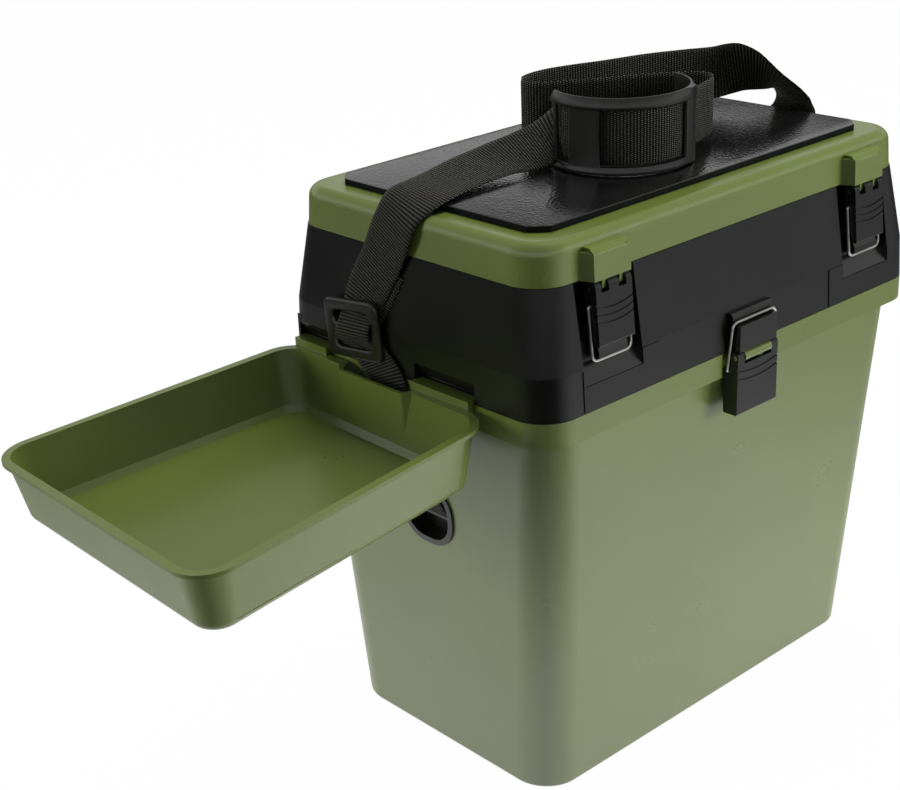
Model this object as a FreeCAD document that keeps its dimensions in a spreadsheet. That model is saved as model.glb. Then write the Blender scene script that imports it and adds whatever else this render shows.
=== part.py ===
import FreeCAD, Part
import math
import os

import Sketcher

Vector = FreeCAD.Vector

# Driving dimensions in millimetres and degrees, each written once
SIZES = {
    # lower box
    "foot_half_length": 168.2,
    "foot_half_width": 97.8,
    "bin_half_length": 181.5,
    "bin_half_width": 117.0,
    "bin_corner": 27.5,
    "bin_wall": 3.0,
    "foot_round": 4.0,
    "band_bottom": 265.8,
    "rim_top": 282.1,
    "rim_plate": 3.0,
    "band_wall": 2.4,
    "case_half_length": 190.0,
    "case_half_width": 123.2,
    "case_corner": 24.7,
    "rib_thickness": 2.0,
    "rib_pitch": 40.0,
    # middle tier
    "seam_gap": 0.25,
    "tier_knee": 310.0,
    "knee_half_length": 189.5,
    "knee_half_width": 121.8,
    "tier_top": 362.3,
    "tier_half_length": 183.3,
    "tier_half_width": 113.9,
    "tier_wall": 2.8,
    "tier_floor": 2.8,
    "tongue_bottom": 276.0,
    "tongue_clearance": 0.8,
    "tongue_wall": 2.5,
    # lid
    "lid_half_length": 182.9,
    "lid_half_width": 113.4,
    "lid_draft": 1.3,
    "lid_top": 388.4,
    "lid_wall": 2.8,
    "lid_plate": 3.0,
    "lid_shoulder": 8.0,
    "lid_rib_depth": 7.0,
    "pad_half_length": 161.7,
    "pad_half_width": 93.3,
    "pad_thickness": 5.3,
    "pad_corner": 9.0,
    "pad_edge": 1.2,
    # rear hinges
    "hinge_knuckle": 4.7,
    "hinge_pin": 2.0,
    "running_clearance": 0.05,
    "side_clearance": 0.4,
    "hinge_station": 112.0,
    "hinge_knuckle_length": 14.0,
    "hinge_barrel_length": 24.0,
    "tier_hinge_reach": 128.5,
    "tier_hinge_level": 284.0,
    "lid_hinge_reach": 119.0,
    "lid_hinge_level": 364.0,
    # lid latches
    "latch_offset": 129.4,
    "lid_lever_half_width": 15.75,
    "lid_pivot_reach": 117.6,
    "lid_pivot_level": 356.9,
    "lid_barrel": 4.6,
    "lid_lever_foot": 321.5,
    "lid_lever_foot_reach": 125.2,
    "lever_wall": 2.4,
    "lever_slot_width": 6.8,
    "lever_slot_offset": 7.6,
    "ear_width": 3.2,
    "lid_pin": 1.2,
    "lid_ear": 2.2,
    "slot_clearance": 0.3,
    "front_pin": 1.5,
    "wire_radius": 1.0,
    "wire_bend": 4.5,
    "stub_bend": 1.4,
    "stub_depth": 3.2,
    "groove_width": 1.4,
    "groove_depth": 0.6,
    "groove_sag": 2.6,
    "lid_groove_level": 347.3,
    "lid_groove_pitch": 4.6,
    "front_groove_level": 270.6,
    "front_groove_pitch": 5.6,
    "lid_bail_half_width": 17.2,
    "lid_bail_level": 346.0,
    "lid_bail_reach": 117.3,
    "lid_bar_level": 312.0,
    "lid_bar_reach": 120.6,
    "recess_half_width": 26.2,
    "recess_depth": 7.0,
    "recess_foot": 299.0,
    "recess_floor": 311.0,
    "catch_half_width": 12.5,
    "catch_height": 9.0,
    "bar_slack": 0.35,
    "boss_half_width": 16.0,
    "boss_reach": 121.6,
    "boss_top": 381.8,
    "gusset_width": 3.6,
    "gusset_drop": 2.4,
    "panel_proud": 0.6,
    "panel_outer": 27.0,
    "panel_inner": 42.0,
    "panel_lift": 0.8,
    "panel_top": 309.0,
    # front latch
    "front_lever_half_width": 20.75,
    "front_pivot_reach": 128.5,
    "front_pivot_level": 278.5,
    "front_face_reach": 131.0,
    "front_lever_foot": 239.0,
    "front_lever_depth": 12.0,
    "front_ear_radius": 3.5,
    "front_ear_gap": 14.0,
    "window_foot": 273.8,
    "front_bail_half_width": 22.3,
    "front_bail_level": 269.0,
    "front_bail_reach": 123.7,
    "front_bar_level": 302.5,
    "front_bar_reach": 127.3,
    "notch_half_width": 26.75,
    "front_knuckle": 3.4,
    "front_ledge": 300.4,
    "front_ledge_half_width": 19.0,
    "front_block_half_width": 20.7,
    "front_block_top": 308.0,
    "front_block_reach": 126.0,
    # strap anchors, buckles, webbing and slide
    "anchor_centre": -2.2,
    "anchor_level": 184.0,
    "anchor_half_width": 22.5,
    "anchor_half_height": 21.0,
    "anchor_corner": 18.5,
    "anchor_fit": 0.2,
    "anchor_depth": 13.0,
    "anchor_lip": 1.6,
    "anchor_wall": 2.0,
    "anchor_bar": 3.0,
    "anchor_bar_depth": 4.0,
    "webbing_width": 38.0,
    "webbing_thickness": 1.6,
    "buckle_width": 50.0,
    "buckle_height": 33.0,
    "buckle_thickness": 4.0,
    "buckle_window": 40.0,
    "buckle_rail": 5.0,
    "buckle_corner": 4.0,
    "buckle_x": 193.6,
    "buckle_y": 38.5,
    "buckle_z": 306.0,
    "buckle_lean": 12.0,
    "slide_height": 49.5,
    "slide_radius": 47.2,
    "slide_thickness": 3.4,
    "slide_rail": 5.2,
    "slide_centre_x": -14.0,
    "slide_centre_y": -26.0,
    "slide_start": 152.0,
    "slide_sweep": 198.0,
    "narrow_window_start": 158.0,
    "narrow_window_sweep": 19.0,
    "main_window_start": 205.0,
    "main_window_sweep": 78.0,
    "rear_window_start": 302.0,
    "rear_window_sweep": 34.0,
    # hanging side tray
    "tray_length": 226.9,
    "tray_inner_width": 197.1,
    "tray_outer_width": 231.3,
    "tray_height": 43.7,
    "tray_draft": 7.3,
    "tray_corner": 20.0,
    "tray_floor_round": 7.0,
    "tray_wall": 2.4,
    "tray_flange": 3.1,
    "tray_rim": 2.5,
    "tray_edge_x": -193.0,
    "tray_edge_y": 13.5,
    "tray_edge_z": 279.6,
    "tray_sag": 3.79,
    "tray_skew": 1.3,
    "tray_recess_depth": 8.5,
    "tray_recess_half": 33.0,
    "tray_recess_centre": 19.0,
    "hook_thickness": 2.5,
    "hook_lift": 0.3,
    "hook_leg": 3.2,
    "hook_gap": 0.5,
    "lip_slot": 4.0,
    "hook_rear_low": 73.0,
    "hook_rear_high": 106.0,
    "hook_front_low": -63.0,
    "hook_front_high": -10.5,
    # lift-out insert tray
    "insert_half_length": 168.0,
    "insert_half_width": 98.0,
    "insert_height": 34.0,
    "insert_wall": 1.8,
    "insert_lift": 0.3,
    "insert_corner": 12.0,
    "insert_pocket_corner": 10.0,
    "insert_columns": 4,
    "insert_rows": 3,
}

doc = FreeCAD.newDocument("seat_box")
sheet = doc.addObject("Spreadsheet::Sheet", "Sizes")
for row, (alias, size) in enumerate(SIZES.items(), start=1):
    sheet.set("A%d" % row, alias)
    sheet.set("B%d" % row, str(size))
    sheet.setAlias("B%d" % row, alias)
doc.recompute()


class Term:
    """A number together with the sheet formula that gives it."""

    def __init__(self, value, text):
        self.value = value
        self.text = text

    def __add__(self, other):
        other = term(other)
        return Term(self.value + other.value, "(%s + %s)" % (self.text, other.text))

    def __sub__(self, other):
        other = term(other)
        return Term(self.value - other.value, "(%s - %s)" % (self.text, other.text))

    def __mul__(self, other):
        other = term(other)
        return Term(self.value * other.value, "(%s * %s)" % (self.text, other.text))

    def __truediv__(self, other):
        other = term(other)
        return Term(self.value / other.value, "(%s / %s)" % (self.text, other.text))

    def __neg__(self):
        return Term(-self.value, "(0 - %s)" % self.text)

    def __radd__(self, other):
        return term(other) + self

    def __rsub__(self, other):
        return term(other) - self

    def __rmul__(self, other):
        return term(other) * self


def term(number):
    if isinstance(number, Term):
        return number
    return Term(float(number), repr(float(number)))


class Sheet:
    """Every alias of the sheet as a Term."""


for alias in SIZES:
    setattr(Sheet, alias, Term(float(sheet.get(alias)), "Sizes." + alias))
s = Sheet


def between(low, high, low_size, high_size, level):
    """The size at a level, on the straight line between two levels."""
    share = (term(level) - low) / (term(high) - low)
    return low_size + (high_size - low_size) * share


AXIS_PLANE = {"x": "YZ_Plane", "y": "XZ_Plane", "z": "XY_Plane"}


def turned(u, v, angle):
    """The point (u, v) turned about the origin."""
    angle = term(angle)
    cosine = Term(math.cos(math.radians(angle.value)), "cos(%s)" % angle.text)
    sine = Term(math.sin(math.radians(angle.value)), "sin(%s)" % angle.text)
    return term(u) * cosine - term(v) * sine, term(u) * sine + term(v) * cosine


def new_body(label):
    body = doc.addObject("PartDesign::Body", label)
    body.Label = label
    return body


def new_sketch(body, name, axis, level):
    """A sketch square to an axis at a level; a y sketch looks along +Y."""
    sketch = body.newObject("Sketcher::SketchObject", name)
    plane = [f for f in body.Origin.OriginFeatures if f.Role == AXIS_PLANE[axis]][0]
    sketch.AttachmentSupport = (plane, [""])
    sketch.MapMode = "FlatFace"
    offset = -term(level) if axis == "y" else term(level)
    sketch.AttachmentOffset = FreeCAD.Placement(Vector(0, 0, offset.value), FreeCAD.Rotation())
    sketch.setExpression("AttachmentOffset.Base.z", offset.text)
    return sketch


class Rules:
    """Gathers a sketch's geometric rules and sizes, and adds them together."""

    def __init__(self, sketch):
        self.sketch = sketch
        self.rules = []
        self.sizes = []

    def relate(self, kind, *numbers):
        self.rules.append(Sketcher.Constraint(kind, *numbers))

    def hold(self, kind, geometry, position, size):
        """Sets a radius, or a point's distance from the origin."""
        self.sizes.append((len(self.rules), size))
        if position is None:
            self.relate(kind, geometry, size.value)
        else:
            self.relate(kind, -1, 1, geometry, position, size.value)

    def settle(self):
        self.sketch.addConstraint(self.rules)
        for index, size in self.sizes:
            name = "size%d" % index
            self.sketch.renameConstraint(index, name)
            self.sketch.setExpression("Constraints." + name, size.text)


def turn_at(points, i):
    """The two directions away from a corner and the angle between them."""
    before = (points[i - 1] - points[i]).normalize()
    after = (points[(i + 1) % len(points)] - points[i]).normalize()
    return before, after, before.getAngle(after)


def round_corner(sketch, rules, points, i, lines, size):
    """An arc that rounds corner i between two lines, held by the corner and its radius."""
    before, after, angle = turn_at(points, i)
    radius = size[2].value
    reach = radius / math.tan(angle / 2)
    centre = points[i] + (before + after).normalize() * (radius / math.sin(angle / 2))
    arm_in = points[i] + before * reach - centre
    arm_out = points[i] + after * reach - centre
    angle_in = math.atan2(arm_in.y, arm_in.x)
    angle_out = math.atan2(arm_out.y, arm_out.x)
    forward = (angle_out - angle_in) % (2 * math.pi) < math.pi
    low, high = (angle_in, angle_out) if forward else (angle_out, angle_in)
    circle = Part.Circle(centre, Vector(0, 0, 1), radius)
    arc = sketch.addGeometry(Part.ArcOfCircle(circle, low, high), False)
    corner = sketch.addGeometry(Part.Point(points[i]), True)
    first, last = (1, 2) if forward else (2, 1)
    rules.relate("Tangent", lines[0], 2, arc, first)
    rules.relate("Tangent", arc, last, lines[1], 1)
    rules.relate("PointOnObject", corner, 1, lines[0])
    rules.relate("PointOnObject", corner, 1, lines[1])
    rules.hold("DistanceX", corner, 1, size[0])
    rules.hold("DistanceY", corner, 1, size[1])
    rules.hold("Radius", arc, None, size[2])


def draw_runs(sketch, rules, sizes, closed):
    """Straight runs between corners (u, v, radius), each corner sharp or rounded."""
    points = [Vector(size[0].value, size[1].value, 0) for size in sizes]
    count = len(points)
    cuts = []
    for i in range(count):
        ends_here = not closed and i in (0, count - 1)
        rounding = 0.0 if ends_here else sizes[i][2].value
        cuts.append(rounding / math.tan(turn_at(points, i)[2] / 2) if rounding > 0 else 0.0)
    lines = []
    for i in range(count if closed else count - 1):
        j = (i + 1) % count
        along = (points[j] - points[i]).normalize()
        run = Part.LineSegment(points[i] + along * cuts[i], points[j] - along * cuts[j])
        lines.append(sketch.addGeometry(run, False))
    for i in range(count):
        if not closed and i in (0, count - 1):
            line, end = (lines[0], 1) if i == 0 else (lines[-1], 2)
            rules.hold("DistanceX", line, end, sizes[i][0])
            rules.hold("DistanceY", line, end, sizes[i][1])
        elif cuts[i] > 0:
            round_corner(sketch, rules, points, i, (lines[i - 1], lines[i]), sizes[i])
        else:
            rules.relate("Coincident", lines[i - 1], 2, lines[i], 1)
            rules.hold("DistanceX", lines[i], 1, sizes[i][0])
            rules.hold("DistanceY", lines[i], 1, sizes[i][1])


def corner_sizes(corners, radius=None):
    """Corners as (u, v, radius) sizes; a corner with no radius of its own takes the outline's."""
    sizes = []
    for corner in corners:
        rounding = corner[2] if len(corner) > 2 else (0 if radius is None else radius)
        sizes.append((term(corner[0]), term(corner[1]), term(rounding)))
    return sizes


def draw_circle(sketch, rules, u, v, radius):
    u, v, radius = term(u), term(v), term(radius)
    circle = Part.Circle(Vector(u.value, v.value, 0), Vector(0, 0, 1), radius.value)
    index = sketch.addGeometry(circle, False)
    rules.hold("DistanceX", index, 3, u)
    rules.hold("DistanceY", index, 3, v)
    rules.hold("Radius", index, None, radius)


def rectangle(half_u, half_v, centre_u=0, centre_v=0):
    half_u, half_v = term(half_u), term(half_v)
    centre_u, centre_v = term(centre_u), term(centre_v)
    return [
        (centre_u - half_u, centre_v - half_v),
        (centre_u + half_u, centre_v - half_v),
        (centre_u + half_u, centre_v + half_v),
        (centre_u - half_u, centre_v + half_v),
    ]


def box_outline(low_u, low_v, high_u, high_v):
    return [(low_u, low_v), (high_u, low_v), (high_u, high_v), (low_u, high_v)]


def draw(sketch, outlines):
    """Outlines are corner lists, (corners, radius) pairs or ("circle", u, v, radius)."""
    rules = Rules(sketch)
    for outline in outlines:
        if isinstance(outline, tuple) and outline[0] == "circle":
            draw_circle(sketch, rules, *outline[1:])
        elif isinstance(outline, tuple):
            draw_runs(sketch, rules, corner_sizes(*outline), True)
        else:
            draw_runs(sketch, rules, corner_sizes(outline), True)
    rules.settle()


volumes = {}


def check_change(body, name, cut):
    """Each step has to grow the body, or shrink it where it cuts."""
    before = volumes.get(body.Label, 0.0)
    after = body.Shape.Volume
    if (after >= before) == cut:
        raise RuntimeError("%s.%s changes nothing: %.1f to %.1f" % (body.Label, name, before, after))
    volumes[body.Label] = after


def extrude(body, name, axis, start, end, outlines, cut=False, refine=False):
    """Adds or cuts the outlines between two levels of an axis."""
    start, end = term(start), term(end)
    sketch = new_sketch(body, name + "_outline", axis, end if axis == "y" else start)
    draw(sketch, outlines)
    kind = "PartDesign::Pocket" if cut else "PartDesign::Pad"
    feature = body.newObject(kind, name)
    feature.Profile = sketch
    feature.Type = 0
    feature.Reversed = cut
    feature.Refine = refine
    feature.setExpression("Length", (end - start).text)
    doc.recompute()
    check_change(body, name, cut)
    return feature


def loft(body, name, axis, sections, cut=False, ruled=True):
    """Adds or cuts a loft through (level, corners, radius) sections, from the highest down."""
    sketches = []
    for i, (level, corners, radius) in enumerate(reversed(sections)):
        sketch = new_sketch(body, "%s_section%d" % (name, i), axis, level)
        draw(sketch, [(corners, radius)])
        sketches.append(sketch)
    kind = "PartDesign::SubtractiveLoft" if cut else "PartDesign::AdditiveLoft"
    feature = body.newObject(kind, name)
    feature.Profile = sketches[0]
    feature.Sections = sketches[1:]
    feature.Ruled = ruled
    feature.Refine = False
    doc.recompute()
    check_change(body, name, cut)
    return feature


def dress(body, name, kind, size, wanted):
    """Rounds or bevels the edges that wanted(edge) picks."""
    base = body.Tip
    edges = []
    for i, edge in enumerate(base.Shape.Edges, start=1):
        if wanted(edge):
            edges.append("Edge%d" % i)
    if not edges:
        raise RuntimeError("%s.%s finds no edge" % (body.Label, name))
    feature = body.newObject("PartDesign::" + kind, name)
    feature.Base = (base, edges)
    feature.setExpression("Radius" if kind == "Fillet" else "Size", term(size).text)
    doc.recompute()
    if "Invalid" in feature.State or feature.Shape.isNull():
        raise RuntimeError("%s.%s fails: %s" % (body.Label, name, feature.getStatusString()))
    return feature


def edge_in_box(low, high):
    """Picks the edges that lie wholly between two corners."""
    low_x, low_y, low_z = [term(c).value - 0.01 for c in low]
    high_x, high_y, high_z = [term(c).value + 0.01 for c in high]

    def wanted(edge):
        bounds = edge.BoundBox
        inside_x = low_x <= bounds.XMin and bounds.XMax <= high_x
        inside_y = low_y <= bounds.YMin and bounds.YMax <= high_y
        inside_z = low_z <= bounds.ZMin and bounds.ZMax <= high_z
        return inside_x and inside_y and inside_z

    return wanted


def place(body, x=0, y=0, z=0, axis=(1, 0, 0), angle=0):
    x, y, z, angle = term(x), term(y), term(z), term(angle)
    rotation = FreeCAD.Rotation(Vector(*axis), angle.value)
    body.Placement = FreeCAD.Placement(Vector(x.value, y.value, z.value), rotation)
    body.setExpression("Placement.Base.x", x.text)
    body.setExpression("Placement.Base.y", y.text)
    body.setExpression("Placement.Base.z", z.text)
    if angle.text != repr(0.0):
        body.setExpression("Placement.Rotation.Angle", angle.text)


FAR = 500.0
SIDES = (("left", -1), ("right", 1))

tier_base = s.rim_top + s.seam_gap
lid_base = s.tier_top + s.seam_gap


def bin_half_length_at(level):
    return between(0, s.band_bottom, s.foot_half_length, s.bin_half_length, level)


def bin_half_width_at(level):
    return between(0, s.band_bottom, s.foot_half_width, s.bin_half_width, level)


def tier_base_half_width_at(level):
    return between(s.rim_top, s.tier_knee, s.case_half_width, s.knee_half_width, level)


def knuckle_spans(kind):
    """The stretches along X of a hinge station's knuckles, for one station at 0."""
    half_barrel = s.hinge_barrel_length * 0.5
    if kind == "barrel":
        return [(-half_barrel, half_barrel)]
    near = half_barrel + s.side_clearance
    far = near + s.hinge_knuckle_length
    return [(-far, -near), (near, far)]


def add_knuckles(body, name, kind, reach, level, root, low, high, bore):
    """Hinge knuckles at both stations, each with an arm to its wall, then the bore."""
    spans = knuckle_spans(kind)
    for side, sign in SIDES:
        station = s.hinge_station * sign
        for i, (near, far) in enumerate(spans):
            label = "%s_%s%d" % (name, side, i)
            extrude(body, label, "x", station + near, station + far, [("circle", reach, level, s.hinge_knuckle)])
            extrude(body, label + "_arm", "x", station + near, station + far, [box_outline(root, low, reach, high)])
    for side, sign in SIDES:
        station = s.hinge_station * sign
        extrude(body, "%s_%s_bore" % (name, side), "x", station + spans[0][0] - 1, station + spans[-1][1] + 1,
                [("circle", reach, level, bore)], cut=True)


def build_bin():
    body = new_body("bin_shell")
    mouth_length = bin_half_length_at(s.rim_top)
    mouth_width = bin_half_width_at(s.rim_top)
    loft(body, "walls", "z", [
        (0, rectangle(s.foot_half_length, s.foot_half_width), s.bin_corner),
        (s.rim_top, rectangle(mouth_length, mouth_width), s.bin_corner),
    ])
    dress(body, "foot_rounding", "Fillet", s.foot_round,
          edge_in_box((-FAR, -FAR, 0), (FAR, FAR, 0)))
    extrude(body, "band", "z", s.band_bottom, s.rim_top,
            [(rectangle(s.case_half_length, s.case_half_width), s.case_corner)])
    inner_corner = s.bin_corner - s.bin_wall
    loft(body, "hollow", "z", [
        (s.bin_wall, rectangle(bin_half_length_at(s.bin_wall) - s.bin_wall,
                               bin_half_width_at(s.bin_wall) - s.bin_wall), inner_corner),
        (s.rim_top, rectangle(mouth_length - s.bin_wall, mouth_width - s.bin_wall), inner_corner),
    ], cut=True)
    extrude(body, "band_channel", "z", s.band_bottom, s.rim_top - s.rim_plate, [
        (rectangle(s.case_half_length - s.band_wall, s.case_half_width - s.band_wall), s.case_corner - s.band_wall),
        (rectangle(mouth_length, mouth_width), s.bin_corner),
    ], cut=True)
    ribs = []
    half_rib = s.rib_thickness * 0.5
    for i in (-2, -1, 0, 1, 2):
        centre = s.rib_pitch * i
        ribs.append((centre - half_rib, centre + half_rib))
    for side, sign in SIDES:
        outlines = []
        for low, high in ribs:
            near, far = mouth_length - 1, s.case_half_length - s.band_wall * 0.5
            inner, outer = (-far, -near) if sign < 0 else (near, far)
            outlines.append(box_outline(inner, low, outer, high))
        extrude(body, "end_ribs_" + side, "z", s.band_bottom + 1, s.rim_top - s.rim_plate * 0.5, outlines)
    for side, sign in SIDES:
        near, far = s.case_half_length - s.band_wall - s.lip_slot, s.case_half_length - s.band_wall
        inner, outer = (-far, -near) if sign < 0 else (near, far)
        slots = [
            box_outline(inner, s.hook_rear_low - s.hook_gap, outer, s.hook_rear_high + s.hook_gap),
            box_outline(inner, s.hook_front_low - s.hook_gap, outer, s.hook_front_high + s.hook_gap),
        ]
        extrude(body, "hook_slots_" + side, "z", s.rim_top - s.rim_plate - 3, s.rim_top, slots, cut=True)
    notch_depth = mouth_width + 0.6
    extrude(body, "latch_notch", "z", s.band_bottom, s.rim_top,
            [box_outline(-s.notch_half_width, -s.case_half_width - 1, s.notch_half_width, -notch_depth)], cut=True)
    half_knuckle = s.front_ear_gap - s.side_clearance
    extrude(body, "latch_knuckle", "x", -half_knuckle, half_knuckle,
            [("circle", -s.front_pivot_reach, s.front_pivot_level, s.front_knuckle)])
    web_low = s.front_pivot_level - s.front_knuckle * 0.9
    web_high = s.front_pivot_level + s.front_knuckle * 0.9
    extrude(body, "latch_web", "x", -half_knuckle, half_knuckle,
            [box_outline(-s.front_pivot_reach, web_low, -mouth_width + 1, web_high)])
    extrude(body, "latch_bore", "x", -half_knuckle - 1, half_knuckle + 1,
            [("circle", -s.front_pivot_reach, s.front_pivot_level, s.front_pin)], cut=True)
    add_knuckles(body, "hinge", "pair", s.tier_hinge_reach, s.tier_hinge_level, s.case_half_width - 0.5,
                 s.tier_hinge_level - s.hinge_knuckle, s.rim_top - 0.4, s.hinge_pin)
    for side, sign in SIDES:
        low, high = (-FAR, -150) if sign < 0 else (150, FAR)
        hole = rectangle(s.anchor_half_width, s.anchor_half_height, s.anchor_centre, s.anchor_level)
        extrude(body, "anchor_hole_" + side, "x", low, high, [(hole, s.anchor_corner)], cut=True)
    return body


def build_tier():
    body = new_body("tier_shell")
    base = rectangle(s.case_half_length, s.case_half_width)
    knee = rectangle(s.knee_half_length, s.knee_half_width)
    top = rectangle(s.tier_half_length, s.tier_half_width)
    loft(body, "base_walls", "z", [(tier_base, base, s.case_corner), (s.tier_knee, knee, s.case_corner)])
    loft(body, "top_walls", "z", [(s.tier_knee, knee, s.case_corner), (s.tier_top, top, s.case_corner)])
    wall = s.tier_wall
    corner = s.case_corner - wall
    floor = tier_base + s.tier_floor
    inner_base = rectangle(s.case_half_length - wall, s.case_half_width - wall)
    inner_knee = rectangle(s.knee_half_length - wall, s.knee_half_width - wall)
    inner_top = rectangle(s.tier_half_length - wall, s.tier_half_width - wall)
    loft(body, "top_hollow", "z", [(s.tier_knee, inner_knee, corner), (s.tier_top, inner_top, corner)], cut=True)
    loft(body, "base_hollow", "z", [(floor, inner_base, corner), (s.tier_knee, inner_knee, corner)], cut=True)
    tongue_length = bin_half_length_at(s.tongue_bottom) - s.bin_wall - s.tongue_clearance
    tongue_width = bin_half_width_at(s.tongue_bottom) - s.bin_wall - s.tongue_clearance
    tongue_corner = s.bin_corner - s.bin_wall - s.tongue_clearance
    extrude(body, "tongue", "z", s.tongue_bottom, tier_base + 0.5, [
        (rectangle(tongue_length, tongue_width), tongue_corner),
        (rectangle(tongue_length - s.tongue_wall, tongue_width - s.tongue_wall), tongue_corner - s.tongue_wall),
    ])
    for side, sign in SIDES:
        add_latch_panel(body, side, sign)
        add_latch_recess(body, side, s.latch_offset * sign)
    add_front_catch(body)
    for side, sign in SIDES:
        add_hook_relief(body, side, sign)
    bore = s.hinge_pin + s.running_clearance
    add_knuckles(body, "bin_hinge", "barrel", s.tier_hinge_reach, s.tier_hinge_level, s.case_half_width - 2.0,
                 s.tier_hinge_level - 0.2, s.tier_hinge_level + s.hinge_knuckle, bore)
    add_knuckles(body, "lid_hinge", "pair", s.lid_hinge_reach, s.lid_hinge_level, s.tier_half_width - 1.6,
                 s.lid_hinge_level - s.hinge_knuckle - 2, s.tier_top - 0.4, s.hinge_pin)
    return body


def add_latch_panel(body, side, sign):
    """A slightly proud panel on the front wall, under a latch and towards the middle."""
    outer, inner = s.latch_offset + s.panel_outer, s.latch_offset - s.panel_inner
    start, end = (-outer, -inner) if sign < 0 else (inner, outer)
    low, high = tier_base + s.panel_lift, s.panel_top
    low_wall, high_wall = tier_base_half_width_at(low), tier_base_half_width_at(high)
    profile = [
        (-(low_wall + s.panel_proud), low),
        (-(high_wall + s.panel_proud), high),
        (-(high_wall - s.tier_wall * 0.5), high),
        (-(low_wall - s.tier_wall * 0.5), low),
    ]
    extrude(body, "panel_" + side, "x", start, end, [profile])


def add_latch_recess(body, side, centre):
    wall = s.tier_wall
    half = s.recess_half_width
    top = s.tier_top
    face_foot = tier_base_half_width_at(s.recess_foot)
    floor_y = tier_base_half_width_at(s.recess_floor) - s.recess_depth
    top_y = s.tier_half_width - s.recess_depth
    foot_low = s.recess_foot - wall
    backing = [
        (-face_foot + 1, foot_low),
        (-(face_foot - wall), foot_low),
        (-(floor_y - wall), s.recess_floor - wall * 0.5),
        (-(top_y - wall), top),
        (-(s.tier_half_width - 1), top),
        (-(s.knee_half_width - 1), s.tier_knee),
    ]
    extrude(body, "recess_back_" + side, "x", centre - half - wall, centre + half + wall, [backing])
    hollow = [
        (-(face_foot + 4), s.recess_foot - 1),
        (-face_foot, s.recess_foot),
        (-floor_y, s.recess_floor),
        (-top_y, top + 0.01),
        (-(face_foot + 4), top + 0.01),
    ]
    extrude(body, "recess_" + side, "x", centre - half, centre + half, [hollow], cut=True)
    catch_low = s.lid_bar_level + s.wire_radius + s.bar_slack
    catch_face = s.lid_bar_reach + s.wire_radius * 1.2
    back = floor_y - 1
    catch = [
        (-back, catch_low),
        (-catch_face, catch_low),
        (-catch_face, catch_low + s.catch_height * 0.4),
        (-(catch_face - 2.5), catch_low + s.catch_height),
        (-back, catch_low + s.catch_height + 3),
    ]
    extrude(body, "catch_" + side, "x", centre - s.catch_half_width, centre + s.catch_half_width, [catch])


def add_front_catch(body):
    foot = tier_base + 0.3
    wall = s.tier_wall
    back = -(tier_base_half_width_at(s.front_block_top) - wall * 0.5)
    block = [
        (back, foot),
        (-s.front_block_reach, foot),
        (-s.front_block_reach, s.front_block_top - 2),
        (-(s.front_block_reach - 1.5), s.front_block_top),
        (back, s.front_block_top),
    ]
    extrude(body, "catch_block", "x", -s.front_block_half_width, s.front_block_half_width, [block])
    ledge = box_outline(-s.front_face_reach, foot, -s.front_block_reach + 0.5, s.front_ledge)
    extrude(body, "catch_ledge", "x", -s.front_ledge_half_width, s.front_ledge_half_width, [ledge])


def add_hook_relief(body, side, sign):
    """The low wedge cut in the end wall that lets a hook lift off the rim, with a pad inside."""
    inner = s.case_half_length - s.band_wall - s.lip_slot
    low = tier_base + s.hook_thickness + s.hook_lift + s.hook_gap
    high = low + 10
    clearance = s.hook_gap * 2
    for i, (near, far) in enumerate(((s.hook_front_low, s.hook_front_high), (s.hook_rear_low, s.hook_rear_high))):
        pad = [
            ((s.case_half_length - 1) * sign, tier_base + 1),
            ((inner - s.tier_wall) * sign, tier_base + 1),
            ((inner - s.tier_wall) * sign, low + s.tier_wall),
            ((s.case_half_length - 1) * sign, high + s.tier_wall * 1.6),
        ]
        pad_name = "relief_pad_%s%d" % (side, i)
        extrude(body, pad_name, "y", near - clearance - 2, far + clearance + 2, [pad])
        wedge = [
            ((s.case_half_length + 2) * sign, tier_base - 0.01),
            (inner * sign, tier_base - 0.01),
            (inner * sign, low),
            (s.case_half_length * sign, high),
            ((s.case_half_length + 2) * sign, high + 3),
        ]
        extrude(body, "relief_%s%d" % (side, i), "y", near - clearance, far + clearance, [wedge], cut=True)


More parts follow.
